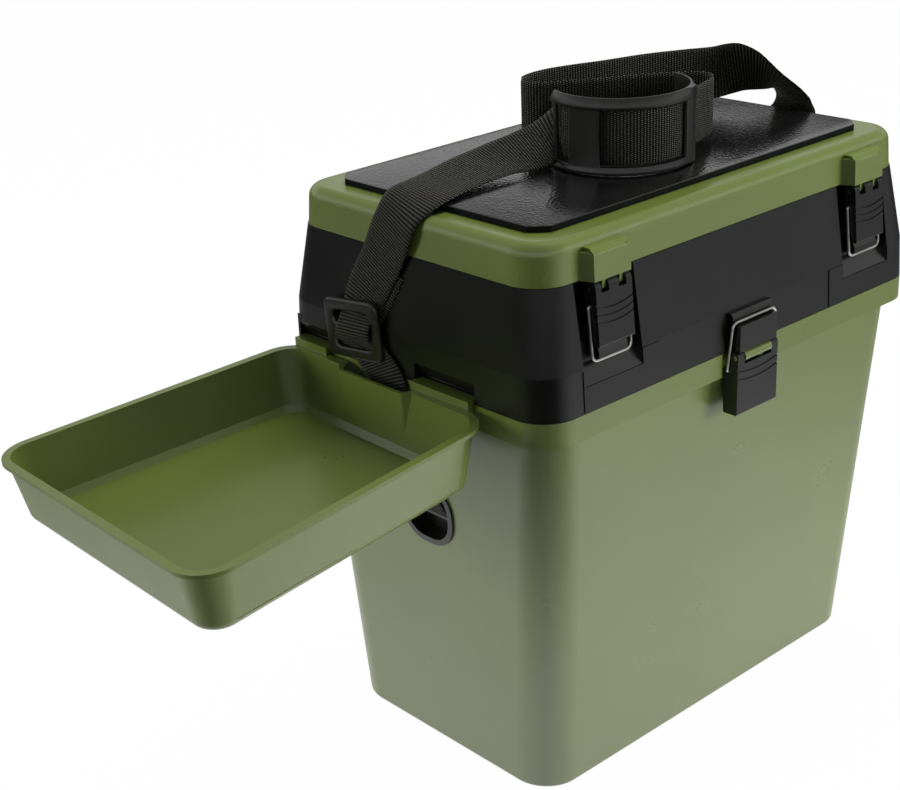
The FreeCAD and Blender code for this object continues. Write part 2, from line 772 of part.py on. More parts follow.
def build_lid():
    body = new_body("lid_shell")
    length, width = s.lid_half_length, s.lid_half_width
    top_length, top_width = length - s.lid_draft, width - s.lid_draft
    loft(body, "walls", "z", [
        (lid_base, rectangle(length, width), s.case_corner),
        (s.lid_top, rectangle(top_length, top_width), s.case_corner),
    ])
    dress(body, "shoulder", "Fillet", s.lid_shoulder, edge_in_box((-FAR, -FAR, s.lid_top), (FAR, FAR, s.lid_top)))
    wall = s.lid_wall
    ceiling = s.lid_top - s.lid_plate
    corner = s.case_corner - wall
    loft(body, "hollow", "z", [
        (lid_base, rectangle(length - wall, width - wall), corner),
        (s.lid_top - s.lid_shoulder, rectangle(top_length - wall, top_width - wall), corner),
    ], cut=True)
    loft(body, "shoulder_hollow", "z", [
        (s.lid_top - s.lid_shoulder, rectangle(top_length - wall, top_width - wall), corner),
        (ceiling, rectangle(top_length - s.lid_shoulder, top_width - s.lid_shoulder), corner - 5),
    ], cut=True)
    ribs = []
    half = s.rib_thickness * 0.5
    reach = top_width - s.lid_shoulder - 1
    for i in (-1.5, -0.5, 0.5, 1.5):
        centre = s.rib_pitch * 2 * i
        ribs.append(box_outline(centre - half, -reach, centre + half, reach))
    extrude(body, "cross_ribs", "z", ceiling - s.lid_rib_depth, ceiling + 1, ribs)
    reach = top_length - s.lid_shoulder - 1
    for i in (-0.5, 0.5):
        centre = s.rib_pitch * 1.6 * i
        outline = box_outline(-reach, centre - half, reach, centre + half)
        extrude(body, "long_rib%d" % (i + 0.5), "z", ceiling - s.lid_rib_depth + 1, ceiling + 1, [outline])
    for side, sign in SIDES:
        add_boss(body, side, s.latch_offset * sign)
    bore = s.hinge_pin + s.running_clearance
    add_knuckles(body, "hinge", "barrel", s.lid_hinge_reach, s.lid_hinge_level, s.lid_half_width - 1.6,
                 s.lid_hinge_level - 0.6, s.lid_hinge_level + s.hinge_knuckle, bore)
    return body


def add_boss(body, side, centre):
    foot = s.lid_pivot_level + s.lid_barrel + 0.3
    boss = [
        (-(s.lid_half_width - 1.5), foot),
        (-s.boss_reach, foot),
        (-(s.boss_reach - 0.6), s.boss_top - 3.5, 2.0),
        (-(s.boss_reach - 4), s.boss_top, 2.0),
        (-(s.lid_half_width - 1.5), s.boss_top),
    ]
    extrude(body, "boss_" + side, "x", centre - s.boss_half_width, centre + s.boss_half_width, [boss])
    wall_y = -(s.lid_half_width - 1.5)
    for i, way in enumerate((-1, 1)):
        edge = centre + s.boss_half_width * way
        gusset = [
            (edge + s.gusset_width * way, wall_y),
            (edge - s.ear_width * way, wall_y),
            (edge - s.ear_width * way, -(s.boss_reach - 0.8)),
            (edge, -(s.boss_reach - 0.8)),
        ]
        extrude(body, "gusset_%s%d" % (side, i), "z", foot, s.boss_top - s.gusset_drop, [gusset])
    for i, offset in enumerate((-s.lever_slot_offset, s.lever_slot_offset)):
        middle = centre + offset + s.lever_slot_width * 0.25
        low, high = middle - s.ear_width * 0.5, middle + s.ear_width * 0.5
        name = "ear_%s%d" % (side, i)
        stem = box_outline(-s.lid_pivot_reach - s.lid_ear, s.lid_pivot_level,
                           -s.lid_pivot_reach + s.lid_ear, foot + 1)
        extrude(body, name, "x", low, high, [stem])
        extrude(body, name + "_eye", "x", low, high, [("circle", -s.lid_pivot_reach, s.lid_pivot_level, s.lid_ear)])
    extrude(body, "pin_bores_" + side, "x", centre - s.boss_half_width, centre + s.boss_half_width,
            [("circle", -s.lid_pivot_reach, s.lid_pivot_level, s.lid_pin)], cut=True)


def build_pad():
    body = new_body("seat_pad")
    extrude(body, "sheet", "z", s.lid_top, s.lid_top + s.pad_thickness,
            [(rectangle(s.pad_half_length, s.pad_half_width), s.pad_corner)])
    top = s.lid_top + s.pad_thickness
    dress(body, "edge_rounding", "Fillet", s.pad_edge, edge_in_box((-FAR, -FAR, top), (FAR, FAR, top)))
    return body


def pins(label, spans, reach, level, radius):
    """A group of straight pins along X, one for each (low, high) stretch."""
    group = []
    for i, (low, high) in enumerate(spans):
        low, high = term(low), term(high)
        pin = doc.addObject("Part::Cylinder", "%s_pin%d" % (label, i))
        pin.setExpression("Radius", radius.text)
        pin.setExpression("Height", (high - low).text)
        place(pin, low, reach, level, (0, 1, 0), 0)
        pin.Placement = FreeCAD.Placement(pin.Placement.Base, FreeCAD.Rotation(Vector(0, 1, 0), 90))
        group.append(pin)
    if len(group) == 1:
        group[0].Label = label
        return group[0]
    compound = doc.addObject("Part::Compound", label)
    compound.Links = group
    compound.Label = label
    return compound


def hinge_pin_spans():
    half = s.hinge_barrel_length * 0.5 + s.side_clearance + s.hinge_knuckle_length
    return [(s.hinge_station * sign - half, s.hinge_station * sign + half) for _, sign in SIDES]


def groove_outline(half, level):
    """A grip groove seen from the front: it runs from side to side and sags in the middle."""
    shares = (-1, -0.67, -0.33, 0, 0.33, 0.67, 1)
    low, high = [], []
    for share in shares:
        middle = level - s.groove_sag * (1 - share * share)
        low.append((half * share, middle - s.groove_width * 0.5))
        high.append((half * share, middle + s.groove_width * 0.5))
    return low + high[::-1]


def build_lid_lever(side, sign):
    """The hooked lever of a lid latch, drawn about its own centre plane."""
    body = new_body(side + "_lever")
    half = s.lid_lever_half_width
    pivot_y, pivot_z = -s.lid_pivot_reach, s.lid_pivot_level
    face_top = -(s.lid_pivot_reach + s.lid_barrel)
    side_view = [
        (face_top, pivot_z),
        (-s.lid_lever_foot_reach, s.lid_lever_foot, 1.2),
        (-(s.lid_lever_foot_reach - 3.0), s.lid_lever_foot, 1.0),
        (-(s.lid_bail_reach - 1.6), s.lid_bail_level - 8, 2.0),
        (-(s.lid_bail_reach - 3.2), s.lid_bail_level, 2.0),
        (pivot_y + s.lid_barrel, pivot_z),
    ]
    extrude(body, "side_profile", "x", -half, half, [side_view])
    extrude(body, "barrel", "x", -half, half, [("circle", pivot_y, pivot_z, s.lid_barrel)])
    plate = s.lever_wall
    inside = [
        (face_top + plate, pivot_z - s.lid_barrel - 0.6),
        (-(s.lid_lever_foot_reach - plate), s.lid_lever_foot + 2.5),
        (-(s.lid_bail_reach - 20), s.lid_lever_foot + 2.5),
        (-(s.lid_bail_reach - 20), pivot_z - s.lid_barrel - 0.6),
    ]
    extrude(body, "inside", "x", -(half - plate), half - plate, [inside], cut=True)
    for i, offset in enumerate((-s.lever_slot_offset, s.lever_slot_offset)):
        low, high = offset - s.lever_slot_width * 0.5, offset + s.lever_slot_width * 0.5
        room = s.lid_ear + s.slot_clearance
        slot = box_outline(face_top - 1, pivot_z - room, pivot_y + room, pivot_z + s.lid_barrel + 1)
        extrude(body, "slot%d" % i, "x", low, high, [slot], cut=True)
    bore = s.lid_pin + s.running_clearance
    extrude(body, "pin_bore", "x", -half - 1, half + 1, [("circle", pivot_y, pivot_z, bore)], cut=True)
    eye = s.wire_radius + s.running_clearance
    extrude(body, "bail_bore", "x", -half - 1, half + 1,
            [("circle", -s.lid_bail_reach, s.lid_bail_level, eye)], cut=True)
    for i in range(3):
        level = s.lid_groove_level - s.lid_groove_pitch * i
        middle = level - s.groove_sag * 0.5
        face = between(s.lid_lever_foot, pivot_z, -s.lid_lever_foot_reach, face_top, middle)
        outline = groove_outline(half + 0.5, level)
        extrude(body, "groove%d" % i, "y", face - 3, face + s.groove_depth, [outline], cut=True)
    place(body, s.latch_offset * sign)
    return body


def build_front_lever():
    body = new_body("front_lever")
    half = s.front_lever_half_width
    pivot_y, pivot_z = -s.front_pivot_reach, s.front_pivot_level
    face, foot = -s.front_face_reach, s.front_lever_foot
    back = face + s.front_lever_depth
    shelf = s.band_bottom - 0.5
    eye_back = -(s.front_bail_reach - 2.6)
    side_view = [
        (face, foot, 1.0),
        (back - 1.0, foot, 1.5),
        (back, shelf - 6, 1.0),
        (back, shelf, 0.8),
        (eye_back, shelf + 1.5, 0.5),
        (eye_back, s.front_bail_level + 2.5, 1.0),
        (pivot_y + s.front_ear_radius - 0.3, pivot_z - 1.0, 0.5),
        (pivot_y + s.front_ear_radius - 0.3, pivot_z + s.front_ear_radius, 2.2),
        (face, pivot_z + s.front_ear_radius, 2.2),
    ]
    extrude(body, "side_profile", "x", -half, half, [side_view])
    gap = s.front_ear_gap
    window = box_outline(face - 1, s.window_foot, back + 10, pivot_z + s.front_ear_radius + 1)
    extrude(body, "window", "x", -gap, gap, [window], cut=True)
    plate = s.lever_wall
    inside = box_outline(face + plate, foot + 3, back + 10, s.window_foot + 1)
    extrude(body, "inside", "x", -(half - plate), half - plate, [inside], cut=True)
    bore = s.front_pin + s.running_clearance
    extrude(body, "pin_bore", "x", -half - 1, half + 1, [("circle", pivot_y, pivot_z, bore)], cut=True)
    eye = s.wire_radius + s.running_clearance
    extrude(body, "bail_bore", "x", -half - 1, half + 1,
            [("circle", -s.front_bail_reach, s.front_bail_level, eye)], cut=True)
    for i in range(2):
        outline = groove_outline(half + 0.5, s.front_groove_level - s.front_groove_pitch * i)
        extrude(body, "groove%d" % i, "y", face - 3, face + s.groove_depth, [outline], cut=True)
    return body


def build_bail(label, half_width, lever_half, reach, level, bar_reach, bar_level, offset):
    """A wire bail: stubs turned in at the lever, two legs and a cross bar, one bent wire."""
    body = new_body(label)
    rise = bar_level - level
    lean = bar_reach - reach
    length_value = math.hypot(rise.value, lean.value)
    length = Term(length_value, "sqrt(%s ^ 2 + %s ^ 2)" % (rise.text, lean.text))
    direction = 1 if rise.value > 0 else -1
    tilt_value = math.degrees(math.atan2(lean.value * direction, abs(rise.value)))
    tilt = Term(tilt_value, "atan(%s / %s)" % (lean.text, rise.text))
    inner = lever_half - s.stub_depth
    spine = new_sketch(body, "spine", "y", 0)
    bend, tight = s.wire_bend, s.stub_bend
    stops = [
        (-inner, term(0)),
        (-half_width, term(0), tight),
        (-half_width, length * direction, bend),
        (half_width, length * direction, bend),
        (half_width, term(0), tight),
        (inner, term(0)),
    ]
    rules = Rules(spine)
    draw_runs(spine, rules, corner_sizes(stops), False)
    rules.settle()
    profile = new_sketch(body, "wire_section", "x", -inner)
    draw(profile, [("circle", 0, 0, s.wire_radius)])
    pipe = body.newObject("PartDesign::AdditivePipe", "wire")
    pipe.Profile = profile
    pipe.Spine = spine
    doc.recompute()
    place(body, offset, -reach, level, (1, 0, 0), tilt)
    return body


def build_side_tray():
    """Drawn level about the middle of its inboard top edge, then hung with its sag."""
    body = new_body("side_tray")
    inner_half, outer_half = s.tray_inner_width * 0.5, s.tray_outer_width * 0.5
    length, draft = s.tray_length, s.tray_draft

    def plan(grow):
        grow = term(grow)
        corners = [
            (grow, -inner_half - grow),
            (grow, inner_half + grow),
            (-length - grow, outer_half + grow),
            (-length - grow, -outer_half - grow),
        ]
        return [turned(x, y, -s.tray_skew) for x, y in corners]

    flange = s.tray_flange
    loft(body, "walls", "z", [
        (-s.tray_height, plan(-draft - flange), s.tray_corner - 4),
        (-s.tray_rim * 0.5, plan(-flange), s.tray_corner),
    ])
    dress(body, "floor_rounding", "Fillet", s.tray_floor_round,
          edge_in_box((-FAR, -FAR, -s.tray_height), (FAR, FAR, -s.tray_height)))
    extrude(body, "rim", "z", -s.tray_rim, 0, [(plan(0), s.tray_corner + flange)])
    wall = s.tray_wall
    recess_low = s.tray_recess_centre - s.tray_edge_y - s.tray_recess_half
    recess_high = s.tray_recess_centre - s.tray_edge_y + s.tray_recess_half
    loft(body, "hollow", "z", [
        (-s.tray_height + wall, plan(-draft - flange - wall - 3), s.tray_corner - 6),
        (-s.tray_height + wall + 4, plan(-draft - flange - wall + 0.7), s.tray_corner - 6),
        (0, plan(-flange - wall), s.tray_corner - wall),
    ], cut=True)
    deep = s.tray_recess_depth
    notch = [
        (flange, recess_low - 3),
        (flange, recess_high + 3),
        (-deep, recess_high - 4, 3.0),
        (-deep, recess_low + 4, 3.0),
    ]
    backing = [
        (-flange - 0.5, recess_low - 6),
        (-flange - 0.5, recess_high + 6),
        (-deep - wall, recess_high - 3, 3.0),
        (-deep - wall, recess_low + 3, 3.0),
    ]
    extrude(body, "strap_wall", "z", -s.tray_height + 1, 0, [backing])
    extrude(body, "strap_notch", "z", -s.tray_height - 1, 0.01, [notch], cut=True)
    add_tray_hooks(body)
    place(body, s.tray_edge_x, s.tray_edge_y, s.tray_edge_z, (0, 1, 0), -s.tray_sag)
    return body


def add_tray_hooks(body):
    """Flat straps over the rim's edge, each with a leg down behind the lip."""
    low = s.rim_top + s.hook_lift
    high = low + s.hook_thickness
    lip_face = -(s.case_half_length - s.band_wall) + 0.3
    leg_end = -(s.case_half_length - s.band_wall - s.lip_slot) - 0.5
    outside = -(s.case_half_length + 0.8)
    foot = s.tray_edge_z - s.tray_rim - 1.5
    profile = [
        (outside - s.hook_thickness - 1.5, foot),
        (outside, foot),
        (outside, low),
        (lip_face, low),
        (lip_face + s.hook_leg * 0.5774, low - s.hook_leg),
        (leg_end, low - s.hook_leg),
        (leg_end, high - 0.8),
        (leg_end - 0.8, high),
        (outside - s.hook_thickness - 1.5, high),
    ]
    corners = [turned(x - s.tray_edge_x, z - s.tray_edge_z, -s.tray_sag) for x, z in profile]
    spans = ((s.hook_front_low, s.hook_front_high), (s.hook_rear_low, s.hook_rear_high))
    for i, (near, far) in enumerate(spans):
        extrude(body, "hook%d" % i, "y", near - s.tray_edge_y, far - s.tray_edge_y, [corners])


def build_anchor(side, sign):
    """A cup pressed through the end wall, with a lip outside and a bar across for the strap."""
    body = new_body("strap_anchor_" + side)
    half_width, half_height = s.anchor_half_width - s.anchor_fit, s.anchor_half_height - s.anchor_fit
    corner = s.anchor_corner - s.anchor_fit
    lip = s.anchor_lip
    wall = s.anchor_wall
    inner = (rectangle(half_width - wall, half_height - wall), corner - wall)
    start, end = (-lip, s.anchor_depth) if sign < 0 else (-s.anchor_depth, lip)
    extrude(body, "cup", "x", start, end, [(rectangle(half_width, half_height), corner)])
    start, end = (-lip, term(0)) if sign < 0 else (term(0), lip)
    extrude(body, "lip", "x", start, end, [(rectangle(half_width + wall, half_height + wall), corner + wall)])
    start, end = (-lip, s.anchor_depth - wall) if sign < 0 else (wall - s.anchor_depth, lip)
    extrude(body, "hollow", "x", start, end, [inner], cut=True)
    extrude(body, "bar", "y", -half_width + 0.5, half_width - 0.5,
            [("circle", s.anchor_bar_depth * -sign, 0, s.anchor_bar)])
    draft = math.degrees(math.atan((s.bin_half_length - s.foot_half_length).value / s.band_bottom.value))
    lean = Term(draft * sign, "(atan((%s - %s) / %s) * %d)" % (s.bin_half_length.text, s.foot_half_length.text,
                                                            s.band_bottom.text, sign))
    face = bin_half_length_at(s.anchor_level) + 0.02
    place(body, face * sign, s.anchor_centre, s.anchor_level, (0, 1, 0), lean)
    return body


def build_buckle(side, sign):
    """A flat three-bar buckle that stands off the end wall, leaning with the webbing."""
    body = new_body("buckle_" + side)
    half_width, half_height = s.buckle_width * 0.5, s.buckle_height * 0.5
    half = s.buckle_thickness * 0.5
    extrude(body, "plate", "x", -half, half, [(rectangle(half_width, half_height), s.buckle_corner)])
    window = s.buckle_window * 0.5
    opening = (s.buckle_height - s.buckle_rail * 3) * 0.5
    for i, centre in enumerate((-(opening + s.buckle_rail) * 0.5, (opening + s.buckle_rail) * 0.5)):
        slot = (rectangle(window, opening * 0.5, 0, centre), 1.0)
        extrude(body, "slot%d" % i, "x", -half, half, [slot], cut=True)
    dress(body, "edges", "Fillet", 1.0, edge_on_rim(half, half_width, half_height))
    place(body, s.buckle_x * sign, s.buckle_y, s.buckle_z, (1, 0, 0), -s.buckle_lean)
    return body


def edge_on_rim(half, half_width, half_height):
    """Picks the outer edges of a flat plate, both faces."""

    def wanted(edge):
        bounds = edge.BoundBox
        flat = abs(bounds.XMax - bounds.XMin) < 0.01 and abs(abs(bounds.XMax) - half.value) < 0.01
        on_side = abs(max(abs(bounds.YMin), abs(bounds.YMax)) - half_width.value) < 0.01
        on_end = abs(max(abs(bounds.ZMin), abs(bounds.ZMax)) - half_height.value) < 0.01
        return flat and (on_side or on_end)

    return wanted


def sector(name, outer, inner, height, start, sweep, base):
    """A part ring wall about the slide's upright axis."""
    walls = []
    for kind, radius in (("outer", outer), ("inner", inner)):
        wall = doc.addObject("Part::Cylinder", "%s_%s" % (name, kind))
        radius, height, sweep = term(radius), term(height), term(sweep)
        wall.setExpression("Radius", radius.text)
        wall.setExpression("Height", height.text)
        if kind == "outer":
            wall.setExpression("Angle", sweep.text)
        place(wall, s.slide_centre_x, s.slide_centre_y, base, (0, 0, 1), start if kind == "outer" else 0)
        walls.append(wall)
    ring = doc.addObject("Part::Cut", name)
    ring.Base, ring.Tool = walls
    return ring


def build_slide():
    """The curved shoulder slide: a part ring with three windows, standing on the pad."""
    base = s.lid_top + s.pad_thickness + 0.05
    outer, inner = s.slide_radius, s.slide_radius - s.slide_thickness
    ring = sector("slide_ring", outer, inner, s.slide_height, s.slide_start, s.slide_sweep, base)
    windows = []
    places = (
        (s.narrow_window_start, s.narrow_window_sweep),
        (s.main_window_start, s.main_window_sweep),
        (s.rear_window_start, s.rear_window_sweep),
    )
    for i, (start, sweep) in enumerate(places):
        windows.append(sector("slide_window%d" % i, outer + 2, inner - 2, s.slide_height - s.slide_rail * 2,
                              start, sweep, base + s.slide_rail))
    gaps = doc.addObject("Part::MultiFuse", "slide_windows")
    gaps.Shapes = windows
    slide = doc.addObject("Part::Cut", "shoulder_slide")
    slide.Base, slide.Tool = ring, gaps
    slide.Label = "shoulder_slide"
    doc.recompute()
    return slide


def ribbon(label, stations, width, thickness):
    """Flat webbing through (centre, across) stations, with even steps between them."""
    centres = [Vector(*centre) for centre, _ in stations]
    acrosses = [Vector(*across).normalize() for _, across in stations]
    steps = 4
    sections = []
    last = len(stations) - 1
    for i in range(last):
        for k in range(steps + (1 if i == last - 1 else 0)):
            share = k / steps
            centre = smooth(centres, i, share)
            along = (smooth(centres, i, min(share + 0.02, 1.0)) - smooth(centres, i, max(share - 0.02, 0.0)))
            across = (acrosses[i] * (1 - share) + acrosses[i + 1] * share).normalize()
            face = along.cross(across).normalize()
            across = face.cross(along.normalize()).normalize()
            half_width, half_thick = across * (width / 2), face * (thickness / 2)
            corners = [centre - half_width - half_thick, centre + half_width - half_thick,
                       centre + half_width + half_thick, centre - half_width + half_thick]
            sections.append(Part.makePolygon(corners + corners[:1]))
    shape = Part.makeLoft(sections, True, True)
    feature = doc.addObject("Part::Feature", label)
    feature.Label = label
    feature.Shape = shape
    feature.Placement = FreeCAD.Placement()
    return feature


def smooth(points, i, share):
    """A point between stations i and i + 1 on a smooth line through all of them."""
    before = points[max(i - 1, 0)]
    here, there = points[i], points[i + 1]
    after = points[min(i + 2, len(points) - 1)]
    square, cube = share * share, share * share * share
    return (before * (-0.5 * cube + square - 0.5 * share) + here * (1.5 * cube - 2.5 * square + 1)
            + there * (-1.5 * cube + 2 * square + 0.5 * share) + after * (0.5 * cube - 0.5 * square))


def build_tail(side, sign):
    """The webbing from the anchor's bar up the end wall, past the band, to the buckle."""
    face = bin_half_length_at(s.anchor_level).value
    bar = face - s.anchor_bar_depth.value
    wrap = s.anchor_bar.value + s.webbing_thickness.value / 2 + 0.35
    middle, level = s.anchor_centre.value, s.anchor_level.value
    band = s.case_half_length.value + s.webbing_thickness.value / 2 + 0.5
    lean = (0, 0.96, -0.28)
    level_lean = (0, 1, 0)
    route = [
        ((bar - wrap, middle, level + 9), level_lean),
        ((bar - wrap, middle, level + 1), level_lean),
        ((bar - wrap * 0.7, middle, level - wrap * 0.7), level_lean),
        ((bar, middle, level - wrap), level_lean),
        ((bar + wrap * 0.7, middle, level - wrap * 0.7), level_lean),
        ((bar + wrap, middle + 0.3, level + 1), level_lean),
        ((face + 2.6, middle + 2, level + 9), (0, 0.99, -0.12)),
        ((face + 5.5, middle + 7, level + 25), lean),
        ((face + 9.6, middle + 17, level + 55), lean),
        ((band, middle + 24.5, s.band_bottom.value), lean),
        ((band + 0.2, middle + 30, s.rim_top.value + 1), lean),
        ((band + 1.2, middle + 32, s.rim_top.value + 5), lean),
    ]
    stations = [((x * sign, y, z), across) for (x, y, z), across in route]
    return ribbon("strap_tail_" + side, stations, s.webbing_width.value - 2, s.webbing_thickness.value)


def build_web():
    """The webbing over the lid: up from one buckle, through the slide, folded and down to the other."""
    pad = s.lid_top.value + s.pad_thickness.value
    half = s.webbing_width.value / 2
    middle = pad + s.slide_height.value / 2
    centre_x, centre_y = s.slide_centre_x.value, s.slide_centre_y.value
    radius = s.slide_radius.value - s.slide_thickness.value - s.webbing_thickness.value / 2 - 0.5
    upright = (0, 0, 1)
    low = s.buckle_z.value + s.buckle_height.value / 2 + 2.5
    stations = [
        ((-190.6, 28, low), (0, 0.97, 0.25)),
        ((-188.6, 21, 350), (0, 0.97, 0.25)),
        ((-186.4, 13, 372), (0.02, 0.95, 0.3)),
        ((-184.4, -1, 390), (-0.1, 0.94, 0.3)),
        ((-176.3, -13, 401), (-0.2, 0.92, 0.33)),
        ((-160.2, -12, 404), (-0.22, 0.88, 0.42)),
        ((-125, -4, 405.5), (-0.21, 0.83, 0.5)),
        ((-90, 4, 406), (-0.1, 0.8, 0.55)),
        ((-68, 8, 409), (0.1, 0.6, 0.78)),
        ((-55, 7, 414), (0.1, 0.2, 0.97)),
        ((-48.5, -1, middle), upright),
    ]
    for angle in range(162, 288, 15):
        turn = math.radians(angle)
        place_on_arc = (centre_x + radius * math.cos(turn), centre_y + radius * math.sin(turn), middle)
        stations.append((place_on_arc, upright))
    loops = [
        (9.5, -62.2), (21, -58), (36, -53), (52, -48), (62, -38), (59, -26), (46, -14), (26, 0), (9, 10), (-12, 25),
        (-26, 36), (-28, 48), (-18, 59), (4, 62), (26, 57), (51, 48), (85, 40), (118, 25), (139, 12),
    ]
    stations += [((x, y, middle), upright) for x, y in loops]
    stations += [
        ((158, -3, 416), (-0.42, -0.47, 0.78)),
        ((177, -12, 405), (-0.35, -0.88, 0.35)),
        ((187, -15, 391), (-0.05, -0.97, -0.2)),
        ((188, -2, 372), (0, -0.97, -0.25)),
        ((188.8, 16, 350), (0, -0.97, -0.25)),
        ((190.6, 26, low), (0, -0.97, -0.25)),
    ]
    return ribbon("strap_web", stations, half * 2, s.webbing_thickness.value)


def build_insert():
    body = new_body("insert_tray")
    base = tier_base + s.tier_floor + s.insert_lift
    wall = s.insert_wall
    outline = rectangle(s.insert_half_length, s.insert_half_width)
    extrude(body, "block", "z", base, base + s.insert_height, [(outline, s.insert_corner)])
    long_step = (s.insert_half_length * 2 - wall) / s.insert_columns
    wide_step = (s.insert_half_width * 2 - wall) / s.insert_rows
    low_x, low_y = -s.insert_half_length + wall, -s.insert_half_width + wall
    pocket = extrude(body, "pocket", "z", base + wall, base + s.insert_height, [
        (box_outline(low_x, low_y, low_x + long_step - wall, low_y + wide_step - wall), s.insert_pocket_corner)],
        cut=True)
    repeat = body.newObject("PartDesign::MultiTransform", "pocket_grid")
    steps = []
    for role, step, copies in (("X_Axis", long_step, s.insert_columns), ("Y_Axis", wide_step, s.insert_rows)):
        pattern = body.newObject("PartDesign::LinearPattern", "pockets_along_" + role[0])
        axis = [f for f in body.Origin.OriginFeatures if f.Role == role][0]
        pattern.Direction = (axis, [""])
        pattern.setExpression("Length", (step * (copies - 1)).text)
        pattern.setExpression("Occurrences", copies.text)
        steps.append(pattern)
    repeat.Originals = [pocket]
    repeat.Transformations = steps
    body.Tip = repeat
    doc.recompute()
    check_change(body, "pocket_grid", True)
    return body


def write_parts(objects):
    for item in doc.Objects:
        if "Invalid" in item.State or "Error" in item.State:
            raise RuntimeError("failed object: %s %s" % (item.Label, item.State))
    for item in objects:
        if item.Shape.isNull() or not item.Shape.isValid():
            raise RuntimeError("bad shape: " + item.Label)
    os.makedirs("parts", exist_ok=True)
    for item in objects:
        item.Shape.exportStep("parts/%s.step" % item.Label)
        print("%-20s %9.1f mm3, %d solid(s)" % (item.Label, item.Shape.Volume, len(item.Shape.Solids)))


parts = [build_bin(), build_tier(), build_lid(), build_pad()]
parts.append(pins("tier_hinge_pins", hinge_pin_spans(), s.tier_hinge_reach, s.tier_hinge_level, s.hinge_pin))
parts.append(pins("lid_hinge_pins", hinge_pin_spans(), s.lid_hinge_reach, s.lid_hinge_level, s.hinge_pin))
front_pin_half = s.front_lever_half_width - 0.3
parts.append(pins("front_lever_pin", [(-front_pin_half, front_pin_half)],
                  -s.front_pivot_reach, s.front_pivot_level, s.front_pin))
lid_pin_half = s.lid_lever_half_width - 0.3
parts.append(pins("lid_lever_pins",
                  [(s.latch_offset * sign - lid_pin_half, s.latch_offset * sign + lid_pin_half) for _, sign in SIDES],
                  -s.lid_pivot_reach, s.lid_pivot_level, s.lid_pin))
for side, sign in SIDES:
    parts.append(build_lid_lever(side, sign))
    parts.append(build_bail(side + "_bail", s.lid_bail_half_width, s.lid_lever_half_width, s.lid_bail_reach,
                            s.lid_bail_level, s.lid_bar_reach, s.lid_bar_level, s.latch_offset * sign))
parts.append(build_front_lever())
parts.append(build_bail("front_bail", s.front_bail_half_width, s.front_lever_half_width, s.front_bail_reach,
                        s.front_bail_level, s.front_bar_reach, s.front_bar_level, term(0)))
parts.append(build_side_tray())
parts.append(build_insert())
for side, sign in SIDES:
    parts.append(build_anchor(side, sign))
    parts.append(build_buckle(side, sign))
    parts.append(build_tail(side, sign))
parts.append(build_slide())
parts.append(build_web())
doc.recompute()
write_parts(parts)
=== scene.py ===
import math

import bpy
import numpy as np
from mathutils import Matrix, Vector


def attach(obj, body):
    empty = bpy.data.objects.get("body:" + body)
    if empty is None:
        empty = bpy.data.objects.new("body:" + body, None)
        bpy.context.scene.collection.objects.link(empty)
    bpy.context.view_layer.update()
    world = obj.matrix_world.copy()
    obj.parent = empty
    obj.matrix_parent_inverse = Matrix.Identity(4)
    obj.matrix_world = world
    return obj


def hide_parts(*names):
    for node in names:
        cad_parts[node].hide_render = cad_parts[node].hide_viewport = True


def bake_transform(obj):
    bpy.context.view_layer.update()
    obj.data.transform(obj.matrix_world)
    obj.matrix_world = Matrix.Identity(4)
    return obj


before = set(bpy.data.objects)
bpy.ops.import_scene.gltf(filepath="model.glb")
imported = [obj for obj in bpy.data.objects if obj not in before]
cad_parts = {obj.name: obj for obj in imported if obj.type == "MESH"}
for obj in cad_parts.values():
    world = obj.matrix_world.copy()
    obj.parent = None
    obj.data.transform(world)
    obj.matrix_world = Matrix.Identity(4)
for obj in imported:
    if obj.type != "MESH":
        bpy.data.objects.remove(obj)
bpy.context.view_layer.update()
mm = 0.001
print("stage: frame loaded,", len(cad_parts), "nodes")


# the view that the photograph was taken from, in millimetres and degrees
cameraSet = {
    "place": (-828.59, -742.82, 684.32),
    "yaw": 39.794,
    "pitch": -21.881,
    "roll": -3.266,
    "sensor": 36.0,
    "lens": 66.698,
    "shift": (0.07776, -0.0313),
}


def makeCamera():
    yaw, pitch, roll = (math.radians(cameraSet[key]) for key in ("yaw", "pitch", "roll"))
    ahead = Vector((math.sin(yaw) * math.cos(pitch), math.cos(yaw) * math.cos(pitch), math.sin(pitch)))
    right = Vector((math.cos(yaw), -math.sin(yaw), 0))
    up = right.cross(ahead)
    sideways = right * math.cos(roll) + up * math.sin(roll)
    upwards = up * math.cos(roll) - right * math.sin(roll)
    place = Vector(cameraSet["place"]) * mm
    bpy.ops.object.camera_add()
    camera = bpy.context.object
    camera.name = "viewCamera"
    camera.matrix_world = Matrix((
        (sideways.x, upwards.x, -ahead.x, place.x),
        (sideways.y, upwards.y, -ahead.y, place.y),
        (sideways.z, upwards.z, -ahead.z, place.z),
        (0, 0, 0, 1),
    ))
    camera.data.sensor_width = cameraSet["sensor"]
    camera.data.sensor_fit = "HORIZONTAL"
    camera.data.lens = cameraSet["lens"]
    camera.data.shift_x, camera.data.shift_y = cameraSet["shift"]
    bpy.context.scene.camera = camera


makeCamera()
bpy.ops.object.select_all(action="DESELECT")
print("stage: camera")


def newMaterial(name):
    material = bpy.data.materials.new(name)
    material.use_nodes = True
    tree = material.node_tree
    return material, tree, tree.nodes["Principled BSDF"]


def addNode(tree, kind, **settings):
    node = tree.nodes.new(kind)
    for key, value in settings.items():
        if key.startswith("in_"):
            node.inputs[key[3:].replace("_", " ")].default_value = value
        else:
            setattr(node, key, value)
    return node


